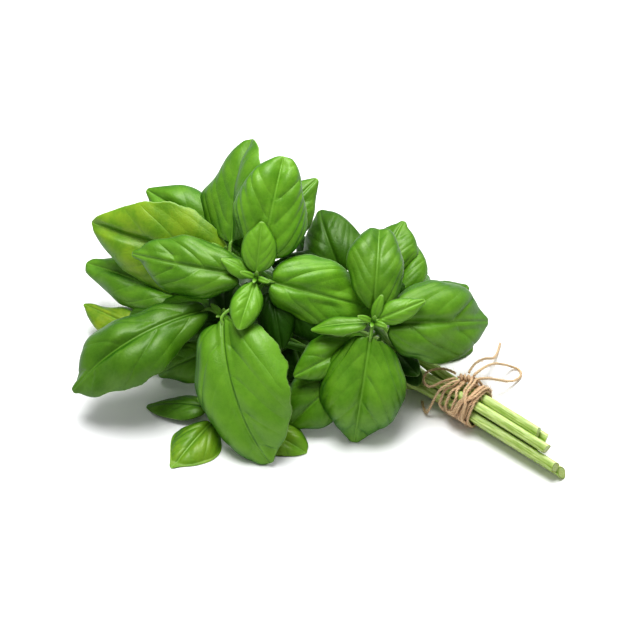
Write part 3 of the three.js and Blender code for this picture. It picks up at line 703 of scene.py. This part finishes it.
tie = {
    "turns": [(7.6, 0.3, 250), (6.2, 0.5, 40), (4.8, 0.4, 260), (3.5, 0.7, 70), (2.2, 0.6, 230),
              (-0.6, 2.2, 255), (-2.4, 2.2, 330), (-4.4, 3.4, 345)],
    "overTurns": [(1.8, 5.4, 62, 1.3), (0.4, 5.2, 70, 1.2), (3.2, 4.2, 55, 1.4), (2.6, 4.4, 206, 2.3),
                  (3.9, 3.2, 214, 2.2)],
    "overFrom": -32,
    "overTo": 212,
    "overRadius": 0.72,
    "overPoints": 16,
    "overRise": 5,  # a winding climbs over one part in this many of its length, at either end
    "leans": (-28, 0, 28),  # degrees round each stem where a turn bears on it
    "knotCentre": (-0.3, 5.4, 18.1),
    "knotHeading": -10,
    "knotLength": 6.4,
    "knotRadius": 1.9,
    "knotWraps": 2.6,
    "knotStrand": 0.8,
    "coreStrand": 0.7,
    "coreReach": 0.6,
}
tieAxis, tieSide = along(bundle["tieHeading"]), along(bundle["tieHeading"] + 90)


def inBundle(distance, side, height):
    return tieCentre + tieAxis * distance + tieSide * side + up * height


def slotOffset(slot):
    if slot == "middle":
        return 0.0, 0.0
    return slotPitch * math.cos(math.radians(slot)), slotPitch * math.sin(math.radians(slot))


def overTurns():
    # the last windings, which cross the others aslant on top and run in under them at both ends
    paths = []
    for place, swing, towards, lift in tie["overTurns"]:
        points = []
        for angle in np.linspace(tie["overFrom"], tie["overTo"], tie["overPoints"]):
            turn = math.radians(angle)
            side, height = slotOffset(60 * round(angle / 60))
            share = (angle - tie["overFrom"]) / (tie["overTo"] - tie["overFrom"])
            reach = wrapReach + lift * min(1.0, tie["overRise"] * min(share, 1 - share))
            points.append(inBundle(place + swing * math.cos(turn - math.radians(towards)),
                                   side + reach * math.cos(turn), height + reach * math.sin(turn)))
        paths.append((evenly(smoothPath(points), twine["step"]), tie["overRadius"], False))
    return paths


def makeTie():
    paths = []
    for place, swing, towards in tie["turns"]:
        points = []
        for slot in range(0, 360, 60):
            for lean in tie["leans"]:
                angle = math.radians(slot + lean)
                side, height = slotOffset(slot)
                points.append(inBundle(place + swing * math.cos(angle - math.radians(towards)),
                                       side + wrapReach * math.cos(angle),
                                       height + wrapReach * math.sin(angle)))
        loop = smoothPath(points, closed=True)
        loop = evenly(np.concatenate([loop, loop[:1]]), twine["step"])[:-1]
        paths.append((loop, twineRadius, True))
    axis = along(tie["knotHeading"])
    across = np.cross(up, axis)
    centre = np.array(tie["knotCentre"])
    wrap = tie["knotRadius"] - tie["knotStrand"]
    helix = []
    for s in np.linspace(0, 1, 90):
        a = 2 * math.pi * tie["knotWraps"] * s
        helix.append(centre + axis * (s - 0.5) * (tie["knotLength"] - tie["knotRadius"])
                     + (across * math.cos(a) + up * math.sin(a)) * wrap)
    core = [centre + axis * (s - 0.5) * (tie["knotLength"] + tie["coreReach"])
            for s in np.linspace(0, 1, 12)]
    paths += [(np.array(helix), tie["knotStrand"], False), (np.array(core), tie["coreStrand"], False)]
    piece = twinePiece("twineTie", paths + overTurns(), twine["tieSeed"], twine["slim"], 1.0)
    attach(piece, "root")
    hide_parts("twine_tie")


makeTie()
print("tie made")


leafForm = {
    "roll": 0, "droop": 40, "fold": 20, "cup": 92, "wave": 0.05, "widest": 0.42, "tip": 0.7,
    "facing": None, "stalk": None,
    # brightness of each leaf: partly tone that differs at random, partly painted light and shade for how
    # brightly it is lit
    "tone": 1.0,  # brightness
    "yellow": 0.0,
    "young": 0.0,
    "veins": 1.0,  # how deep its side veins sink, against the common depth
    "blister": 0.2,  # millimetres that the blade swells between its veins
    "teeth": 0.012,  # of the half width
}
blade = {
    "cell": 0.66,  # millimetres between mesh points
    "halfThickness": 0.25,
    "marginWaves": 2.5,
    "veinAngle": (0.6, 1.35),  # how far a side vein runs forward for what it runs out, and its bend
    "veinStarts": (-0.75, -0.5, -0.27, -0.06, 0.14, 0.34, 0.56, 0.82),
    "midribDepth": 0.35,
    "valleyDepth": 1.3,  # that both halves sink towards the midrib
    "valleyReach": 3.2,
    "veinDepth": 0.45,
    "creaseFade": 0.75,  # share of a vein's depth lost towards the margin
    "toothPitch": 3.1,
    "swing": 0.022,  # of the half width, that the margin's line swings in and out
    "swingPitch": 12.0,
    "tipCurl": 1.5,  # that the tip bends down
    "creaseWidth": 0.8,
    "midribWidth": 0.9,
    "swells": ((42.0, 1.3), (19.0, 0.5)),  # the length and height of the blade's slow waves
    "fullSize": 45,  # the length from which a leaf has its whole relief
    "lowestTop": 0.42,
    "lowestUnder": 0.06,
    "seed": 100,
}


def leaf(at, heading, pitch, length, width, petiole, **rest):
    return {**leafForm, "at": at, "heading": heading, "pitch": pitch, "length": length, "width": width,
            "petiole": petiole, **rest}


sprigs = {
    "sprigCentre": {
        "node": "sprig_centre", "slot": 60, "slant": (10, -8), "cut": 40, "facing": (270, 48),
        "route": [(-50, 27, 26), (-76, 31, 44), (-91, 30, 56), (-93, 24, 63)],
        "leaves": [
            leaf(0.86, 294, -41, 71, 57, 26, roll=34, droop=62, cup=84, tip=0.6, stalk=(218, -15),
                 tone=1.02, young=0.3, veins=2.4),
            leaf(0.93, 73, 45, 47, 41, 9, tone=1.17, blister=0.4, teeth=0.03, veins=1.8),
            leaf(0.95, 163, -2, 52, 33, 8, roll=-8, droop=42, tone=1.03, veins=1.4),
            leaf(0.95, 356, -17, 50, 38, 6, roll=5, droop=40, tip=0.6, tone=1.25, veins=1.5),
            leaf(0.99, 80, 52, 23, 18, 2, droop=20, tone=1.1, young=0.5, blister=0.5, teeth=0.06),
            leaf(0.99, 252, -22, 24, 17, 2, tone=1.1, young=0.45, blister=0.5, teeth=0.06),
            leaf(0.97, 160, 20, 16, 12, 2, roll=30, droop=30, young=0.5),
            leaf(0.8, 318, -26, 29, 24, 6, tone=0.48),
            leaf(0.84, 282, -32, 27, 22, 4, tone=0.48),
        ],
    },
    "sprigRight": {
        "node": "sprig_right", "slot": 120, "slant": (-12, 6), "cut": 48, "facing": (270, 48),
        "route": [(-33, 20, 24), (-39, 16, 38), (-42, 11, 47), (-42, 8, 52)],
        "leaves": [
            leaf(0.95, 253, -62, 53, 46, 6, droop=52, widest=0.47, tip=0.45, tone=1.1, veins=3.0),
            leaf(0.9, 85, 30, 41, 32, 6, droop=80, widest=0.5, tip=0.5, tone=0.93, veins=1.4),
            leaf(0.92, 20, -19, 54, 46, 7, droop=55, tip=0.5, tone=0.97, young=0.1, veins=2.4),
            leaf(0.5, 213, -30, 47, 38, 13, droop=50),
            leaf(0.62, 206, -12, 38, 25, 7, tone=1.1),
            leaf(0.99, 16, 16, 23, 14, 2, droop=30, young=0.45, teeth=0.05),
            leaf(0.99, 178, -12, 26, 12, 2, roll=40, droop=20, young=0.35, teeth=0.05),
            leaf(0.99, 60, 52, 12, 7, 1, droop=30, young=0.6, teeth=0.06),
            leaf(0.22, 300, -14, 16, 11, 3, droop=30, tone=0.52, teeth=0.09),
            leaf(0.3, 300, 4, 19, 12, 3, droop=30, tone=0.52, teeth=0.09),
        ],
    },
    "sprigBackLeft": {
        "node": "sprig_back_left", "slot": "middle", "slant": (8, 10), "cut": 43, "facing": (250, 55),
        "route": [(-58, 37, 20), (-86, 46, 38), (-104, 46, 54), (-107, 42, 60)],
        "leaves": [
            leaf(0.95, 77, 36, 49, 48, 5, roll=-40, droop=20, fold=30, cup=50, tip=0.9, tone=1.1,
                 blister=0.15),
            leaf(0.79, 159, 2, 70, 44, 13, roll=-24, droop=22, fold=24, cup=50, tip=0.9, yellow=0.26,
                 tone=1.17, blister=0.15),
            leaf(0.8, 148, 13, 58, 33, 10, stalk=(115, 8), tone=1.1),
            leaf(0.85, 44, 27, 37, 26, 14, droop=30),
            leaf(0.6, 122, -38, 50, 34, 14, droop=50, facing=(90, 45)),
            leaf(0.42, 112, -30, 44, 28, 12, droop=50, facing=(80, 45)),
            leaf(0.8, 100, 0, 44, 30, 12, droop=50, facing=(90, 60)),
            leaf(0.93, 235, -4, 22, 18, 3, tone=0.48),
        ],
    },
    "sprigLeft": {
        "node": "sprig_left", "slot": 180, "slant": (-6, -14), "cut": 55, "facing": (240, 60),
        "route": [(-52, 21, 13), (-84, 22, 24), (-104, 24, 35), (-108, 22, 41)],
        "leaves": [
            leaf(0.95, 205, -19, 76, 42, 10, roll=6, droop=76, widest=0.55, tip=0.6, stalk=(165, 25),
                 tone=0.8, veins=2.8),
            leaf(0.83, 160, -12, 52, 31, 9, roll=14, tone=0.68),
            leaf(0.65, 150, -3, 77, 32, 30, roll=8, droop=24, tone=0.95),
            leaf(0.8, 146, 0, 58, 26, 36, roll=8, droop=24, tip=0.9, stalk=(181, -24), yellow=0.45),
            leaf(0.75, 182, -29, 40, 28, 15),
            leaf(0.5, 130, -22, 42, 28, 12, tone=0.8),
            leaf(0.97, 90, 4, 22, 20, 3, tone=0.52),
        ],
    },
    "sprigFront": {
        "node": "sprig_front", "slot": 240, "slant": (4, -34), "cut": 57, "facing": (250, 70),
        "route": [(-50, 12, 5.5), (-84, 3, 4), (-108, -1, 5), (-114, -3, 7)],
        "leaves": [
            leaf(0.95, 171, -10, 30, 20, 5, roll=30, droop=30, tone=0.85),
            leaf(0.97, 233, -12, 30, 29, 7, droop=30, tip=0.9, stalk=(256, -9), yellow=0.2, young=0.2),
            leaf(0.78, 330, -8, 28, 28, 11, droop=30, tip=0.9, stalk=(268, 2), young=0.5, yellow=0.2),
            leaf(0.5, 104, -6, 36, 30, 8, tone=0.7),
        ],
    },
    "sprigBackRight": {
        "node": "sprig_back_right", "slot": 0, "slant": (14, 4), "cut": 43, "facing": (240, 60),
        "route": [(-38, 36, 20), (-50, 46, 32), (-56, 50, 38)],
        "leaves": [
            leaf(0.95, 108, 20, 35, 36, 4, droop=74, tone=0.7),
            leaf(0.8, 64, 24, 27, 30, 17, stalk=(45, 12), teeth=0.05),
            leaf(0.7, 72, 16, 29, 23, 16, stalk=(14, 8), teeth=0.05),
            leaf(0.5, 105, -26, 44, 28, 12, facing=(90, 45)),
            leaf(0.95, 170, 6, 30, 24, 5, droop=50, tone=0.46),
            leaf(0.9, 128, 0, 34, 26, 5, tone=0.46),
            leaf(0.85, 16, -8, 28, 24, 5, tone=0.48),
        ],
    },
    "sprigLowRight": {
        "node": "sprig_low_right", "slot": 300, "slant": (-10, -10), "cut": 36, "facing": (300, 60),
        "route": [(-28.7, 32.8, 11), (-20, 40, 14)],
        "leaves": [
            leaf(0.86, 2, -24, 29, 25, 4, tone=0.8),
            leaf(0.95, 47, 0, 33, 28, 5, tone=0.9),
            leaf(0.8, 76, -8, 40, 26, 6, facing=(90, 60)),
        ],
    },
}


def outline(form, t):
    base = form["tip"] * form["widest"] / (1 - form["widest"])
    t = np.clip(t, 0, 1)
    return (t / form["widest"]) ** base * ((1 - t) / (1 - form["widest"])) ** form["tip"]


def bladePoint(form, t, s):
    # a point of the blade's middle surface, from base to tip in t and from margin to margin in s
    chord, normal, side = form["frame"]
    droop = math.radians(form["droop"])
    lean = droop * (0.5 - t)
    forward = (math.sin(droop / 2) - np.sin(lean)) / droop * form["length"]
    rise = (np.cos(lean) - math.cos(droop / 2)) / droop * form["length"]
    halfWidth = form["width"] / 2 * outline(form, t)
    fold, cup, q = math.radians(form["fold"]), math.radians(form["cup"]), np.abs(s)
    across = halfWidth * (math.sin(fold) - np.sin(fold - cup * q)) / cup
    bend = halfWidth * (np.cos(fold - cup * q) - math.cos(fold)) / cup
    swing = np.sin(2 * math.pi * blade["marginWaves"] * t + form["phase"] + np.sign(s))
    bend = bend + form["wave"] * halfWidth * q ** 3 * swing
    return (form["base"] + chord * (forward - bend * np.sin(lean))[..., None]
            + normal * (rise + bend * np.cos(lean))[..., None]
            + side * (np.sign(s) * across)[..., None])


def placeLeaf(form, sprig, path, neckShare, number):
    form = {**form, "phase": 2.4 * number, "number": number}
    chord = along(form["heading"], form["pitch"])
    facing = along(*(form["facing"] or sprig["facing"]))
    normal = turned(unit(facing - chord * np.dot(facing, chord)), chord, form["roll"])
    form["frame"] = chord, normal, np.cross(chord, normal)
    form["root"] = atShare(path, [neckShare + (1 - neckShare) * form["at"]])[0]
    lean = math.radians(form["droop"]) / 2
    start = along(*form["stalk"]) if form["stalk"] else chord * math.cos(lean) + normal * math.sin(lean)
    form["base"] = form["root"] + start * form["petiole"]
    return form


def veinPlace(form, t, s, random):
    # counts the side veins along the blade: a whole number on each vein. Also gives the millimetres between
    # them, how far each point is from the midrib, and how strong the nearest vein is.
    reach = np.abs(s) * form["width"] / 2 * outline(form, t)
    first, bend = blade["veinAngle"]
    forward = reach * (first + bend * reach / (form["width"] / 2)) / form["length"]
    count, gaps, strength = np.zeros_like(t), np.zeros_like(t), np.zeros_like(t)
    for half in (s < 0, s >= 0):
        starts = np.array(blade["veinStarts"]) + random.uniform(-0.03, 0.03)
        starts = starts + random.uniform(-0.022, 0.022, len(starts))
        strong = 0.2 + 0.8 * random.uniform(0.0, 1.0, len(starts)) ** 2.5
        here = (t - forward)[half]
        count[half] = np.interp(here, starts, np.arange(len(starts)))
        gaps[half] = np.interp(here, (starts[1:] + starts[:-1]) / 2, np.diff(starts))
        strength[half] = strong[np.clip(np.round(count[half]).astype(int), 0, len(starts) - 1)]
    return count, gaps * form["length"] * 0.75, reach, strength


def raggedMargin(form, t, s):
    # the place across the blade, with its margin moved in and out by teeth and a slow swing
    notch = (t * form["length"] / blade["toothPitch"]) % 1.0 - 0.5
    swing = np.sin(2 * math.pi * t * form["length"] / blade["swingPitch"] + 2 * form["phase"] + np.sign(s))
    ragged = form["teeth"] * notch + blade["swing"] * swing
    return s * (1 + ragged * smoothStep(0.6, 1.0, np.abs(s)))


def surfaceNormals(grid):
    return unit(np.cross(np.gradient(grid, axis=1), np.gradient(grid, axis=0)))


def bladeRelief(form, t, s, veins, fromEdge, random):
    # millimetres that the blade stands off its even surface: swollen between veins, sunk along them
    count, gaps, reach, strength = veins
    small = min(1.0, form["length"] / blade["fullSize"])
    between = np.sin(math.pi * count) ** 2
    inner = smoothStep(0.4, 3.0, reach) * smoothStep(0.3, 4.5, fromEdge)
    relief = form["blister"] * small * (between - 0.45) * inner
    veinDistance = np.abs(count - np.round(count)) * gaps
    crease = form["veins"] * blade["veinDepth"] * strength
    crease = crease * np.exp(-(veinDistance / blade["creaseWidth"]) ** 2)
    relief -= crease * inner * (1 - blade["creaseFade"] * np.abs(s))
    dip = blade["midribDepth"] * np.exp(-(reach / blade["midribWidth"]) ** 2)
    dip += blade["valleyDepth"] * np.exp(-reach / blade["valleyReach"])
    relief -= dip * small * (1 - t) ** 0.5
    relief *= smoothStep(1.0, 0.9, t)
    for wavelength, height in blade["swells"]:
        turn, shift = random.uniform(0, 2 * math.pi, 2)
        x, y = reach * np.sign(s), t * form["length"]
        wave = np.sin(2 * math.pi / wavelength * (x * math.cos(turn) + y * math.sin(turn)) + shift)
        relief += height * small * wave * smoothStep(0.5, 4.0, reach)
    return relief, blade["tipCurl"] * small * smoothStep(0.7, 1.1, t)


def bladeMesh(form):
    rows = max(10, int(round(form["length"] / blade["cell"])))
    columns = 2 * max(4, int(round(form["width"] / 2 / blade["cell"])))
    even = np.linspace(0, 1, rows + 1)
    t = 0.004 + 0.992 * (0.6 * even + 0.4 * (1 - np.cos(math.pi * even)) / 2)  # closer at both ends
    t, s = np.meshgrid(t, np.linspace(-1, 1, columns + 1), indexing="ij")
    q = np.abs(s)
    random = np.random.default_rng(blade["seed"] + form["number"])
    middle = bladePoint(form, t, raggedMargin(form, t, s))
    normal = surfaceNormals(middle)

    veins = veinPlace(form, t, s, random)
    count, gaps, reach, strength = veins
    halfWidth = form["width"] / 2 * outline(form, t)
    fromEdge = np.minimum(halfWidth * (1 - q), (1 - t) * form["length"] * 0.7)
    relief, curl = bladeRelief(form, t, s, veins, fromEdge, random)
    middle = middle + normal * relief[..., None] - form["frame"][1] * curl[..., None]
    normal = surfaceNormals(middle)

    # The two faces stand apart by the blade's thickness and meet all round its rim.
    half = blade["halfThickness"] * (1 - 0.75 * q ** 6)
    top = middle + normal * half[..., None]
    under = middle - normal * half[..., None]
    top[..., 2] = np.maximum(top[..., 2], blade["lowestTop"])
    under[..., 2] = np.maximum(under[..., 2], blade["lowestUnder"])
    rim = np.zeros_like(t, bool)
    rim[0], rim[-1], rim[:, 0], rim[:, -1] = True, True, True, True
    top[rim] = ((top + under) / 2)[rim]
    points = np.concatenate([top.reshape(-1, 3), under[~rim]])

    upper = np.arange(t.size).reshape(t.shape)
    lower = np.where(rim, upper, 0)
    lower[~rim] = t.size + np.arange((~rim).sum())
    faces = []
    for grid, flip in ((upper, False), (lower, True)):
        a, b, c, d = grid[:-1, :-1], grid[:-1, 1:], grid[1:, 1:], grid[1:, :-1]
        faces.append(np.stack([a, d, c, b] if flip else [a, b, c, d], -1).reshape(-1, 4))

    def both(values):
        return np.concatenate([values.reshape(-1), values[~rim]])

    # the leaf's brightness, partly random tone and partly painted light and shade, then its yellowing and
    # its youth
    tone = np.array([form["tone"] * random.uniform(0.96, 1.04), form["yellow"], form["young"]])
    side = np.concatenate([np.where(rim, 0.5, 0.0).reshape(-1), np.ones((~rim).sum())])
    x, y = both(reach * np.sign(s)), both(t * form["length"])
    return points, np.concatenate(faces), {
        "veinAt": both(count), "veinGap": both(gaps), "veinStrength": both(strength),
        "fromMidrib": both(reach), "fromEdge": both(fromEdge), "underside": side,
        "leafPlace": np.stack([x, y, np.full(len(x), 20.0 * form["number"])], -1),
        "leafToneAndShade": np.broadcast_to(tone, (len(points), 3))}


stalks = {
    "sides": 24,
    "lobeDepth": 0.1,  # of the radius, between the stem's four corners
    "ribs": 16.0,
    "ribDepth": 0.04,
    "step": 0.9,
    "floorGap": 0.00005,
    "nodeSwell": 0.16,
    "nodeReach": 2.2,
    "cutRings": (0.88, 0.6, 0.25),
    "petioleSides": 10,
    "petioleRipeness": 0.25,
    "ribShares": (0.05, 0.1, 0.17, 0.27, 0.4, 0.55, 0.7, 0.84),  # along the blade, for its raised midrib
    "ribThins": ((0, 0.17, 0.84), (0.85, 0.5, 0.16)),  # shares of the blade, and its radius there
}


def petiolePath(form):
    # from inside the stem to the blade, and on as the raised midrib under it
    chord, normal, _ = form["frame"]
    shares = np.array(stalks["ribShares"])
    ribs = bladePoint(form, shares, np.zeros(len(shares)))
    lean = math.radians(form["droop"]) * (0.5 - shares)
    down = normal[None] * np.cos(lean)[:, None] - chord[None] * np.sin(lean)[:, None]
    scale = bundle["petioleDiameter"] / 2 * min(1.0, max(0.75, form["length"] / 40))
    radii = scale * np.interp(shares, *stalks["ribThins"])
    small = min(1.0, form["length"] / blade["fullSize"])
    dip = (blade["midribDepth"] + blade["valleyDepth"]) * small * (1 - shares) ** 0.4
    ribs = ribs - down * (dip + radii * 0.45)[:, None]
    route = np.concatenate([[form["root"], (form["root"] + form["base"]) / 2, form["base"]
                             - normal * radii[0] * 0.2], ribs])
    perSpan = 6
    path = smoothPath(route, perSpan)
    knots = np.concatenate([[scale * 1.05, scale * 0.9, scale * 0.86], radii])
    radius = np.interp(np.arange(len(path)) / perSpan, np.arange(len(route)), knots)
    path[:, 2] = np.maximum(path[:, 2], radius * 0.8)
    return path, radius


def stemPath(sprig):
    side, height = slotOffset(sprig["slot"])
    cut = sprig["cut"]
    sag = bundle["sagShare"] * (tieCentre[2] - rowHeight - stemRadius) / bundle["sagReach"]
    kneeAt, kneeDrop = bundle["sagKnee"]
    apart, higher = bundle["neckSpread"]
    points = [inBundle(cut, side, height - sag * cut),
              inBundle(cut * kneeAt, side, height - sag * cut * kneeDrop),
              inBundle(bundle["heldFrom"], side, height), inBundle(bundle["heldTo"], side, height),
              inBundle(bundle["neck"], side * apart, height * higher)]
    perSpan = 20
    path = smoothPath(points + [np.array(p, float) for p in sprig["route"]], perSpan)
    lengths = lengthsOf(path)
    return path, lengths[4 * perSpan] / lengths[-1]


def cutStem(piece, sprig, path):
    # cuts the stem's end across at its slant and gives it a pale face
    turn, tilt = sprig["slant"]
    inward = along(bundle["tieHeading"] + 180 + turn, tilt)
    point = toPart(path[0] - tieAxis * stemRadius)
    rotated = toPart(inward) - toPart(np.zeros(3))
    work = bmesh.new()
    work.from_mesh(piece.data)
    share = work.verts.layers.float.new("coreShare")
    made = bmesh.ops.bisect_plane(work, geom=work.verts[:] + work.edges[:] + work.faces[:],
                                  plane_co=point, plane_no=unit(rotated), clear_inner=True)
    rim = [e for e in made["geom_cut"] if isinstance(e, bmesh.types.BMEdge)]
    for e in rim:
        e.smooth = False
    face = bmesh.ops.contextual_create(work, geom=rim)["faces"][0]
    if face.normal.dot(unit(rotated)) > 0:
        face.normal_flip()
    outer = list(face.verts)
    centre = sum((v.co for v in outer), outer[0].co * 0) / len(outer)
    bmesh.ops.delete(work, geom=[face], context="FACES_ONLY")
    for v in outer:
        v[share] = 1.0
    for width in stalks["cutRings"]:
        inner = [work.verts.new(centre + (v.co - centre) * width / outer[0][share]) for v in outer]
        for v in inner:
            v[share] = width
        for k in range(len(outer)):
            work.faces.new((outer[k - 1], outer[k], inner[k], inner[k - 1])).material_index = 1
        outer = inner
    work.faces.new(outer).material_index = 1
    for f in work.faces:
        f.smooth = f.material_index == 0
    work.to_mesh(piece.data)
    work.free()


def makeStem(name, sprig, path, neckShare, leaves):
    lengths = lengthsOf(path)
    even = evenly(path, stalks["step"])
    share = np.linspace(0, 1, len(even))
    thin = np.clip((share - neckShare) / (1 - neckShare), 0, 1)
    radius = stemRadius + (bundle["tipDiameter"] / 2 - stemRadius) * thin
    for at in {form["at"] for form in leaves}:
        off = (share - neckShare - (1 - neckShare) * at) * lengths[-1]
        radius = radius * (1 + stalks["nodeSwell"] * np.exp(-(off / stalks["nodeReach"]) ** 2))
    ripe = 1 - smoothStep(neckShare, neckShare + 0.35, share)
    values = {"Sides": stalks["sides"], "Lobes": 4.0, "Lobe depth": stalks["lobeDepth"],
              "Ribs": stalks["ribs"], "Rib depth": stalks["ribDepth"], "Lowest": stalks["floorGap"],
              "Material": stemMaterial}
    stem = grown(name + "Stem", pathPiece(name, [(toPart(even), radius, False, ripe)]),
                 (sweptStrand, values))
    stem.data.materials.append(cutMaterial)
    cutStem(stem, sprig, path)
    values = {**values, "Sides": stalks["petioleSides"], "Rib depth": 0.0}
    paths = []
    for form in leaves:
        path, radius = petiolePath(form)
        paths.append((toPart(path), radius, False, stalks["petioleRipeness"]))
    return [stem, grown(name + "Petioles", pathPiece(name, paths), (sweptStrand, values))]


bud = {
    "leaves": ((20, 7.5, 0.75), (200, 7, 0.7), (110, 5, 0.4), (290, 4.6, 0.4)),  # turn, length, opening
    "slimness": 0.55,
    "firstNumber": 60,
}


def budLeaves(sprig):
    # the youngest leaves, folded together at the tip of a sprig
    facing = along(*sprig["facing"])
    beside = unit(np.cross(facing, up))
    above = np.cross(beside, facing)
    buds = []
    for turn, length, opened in bud["leaves"]:
        spread = beside * math.cos(math.radians(turn)) + above * math.sin(math.radians(turn))
        chord = unit(facing * (1 - opened) + spread * opened)
        heading = math.degrees(math.atan2(chord[1], chord[0]))
        pitch = math.degrees(math.asin(chord[2]))
        buds.append(leaf(1.0, heading, pitch, length, length * bud["slimness"], 0.4, young=0.75,
                         teeth=0.04))
    return buds


def makeSprigs():
    number = 0
    for name, sprig in sprigs.items():
        path, neckShare = stemPath(sprig)
        leaves = []
        for form in sprig["leaves"]:
            leaves.append(placeLeaf(form, sprig, path, neckShare, number))
            number += 1
        buds = [placeLeaf(form, sprig, path, neckShare, bud["firstNumber"] + number + k)
                for k, form in enumerate(budLeaves(sprig))]
        points, faces, attributes, first = [], [], {}, 0
        for form in leaves + buds:
            bladePoints, bladeFaces, values = bladeMesh(form)
            points.append(toPart(bladePoints))
            faces.append(bladeFaces + first)
            first += len(bladePoints)
            for label, given in values.items():
                attributes.setdefault(label, []).append(given)
        blades = meshPiece(name, np.concatenate(points).tolist(), np.concatenate(faces).tolist(),
                           {label: np.concatenate(given) for label, given in attributes.items()})
        blades.data.polygons.foreach_set("use_smooth", [True] * len(blades.data.polygons))
        blades.data.materials.append(leafMaterial)
        piece = joined(name, [blades] + makeStem(name, sprig, path, neckShare, leaves))
        piece.data.update()
        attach(piece, "root")
        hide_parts(sprig["node"])
        triangles = sum(len(p.vertices) - 2 for p in piece.data.polygons)
        print(f"{name}: {len(leaves)} leaves, {triangles} triangles")


makeSprigs()
print("sprigs made")
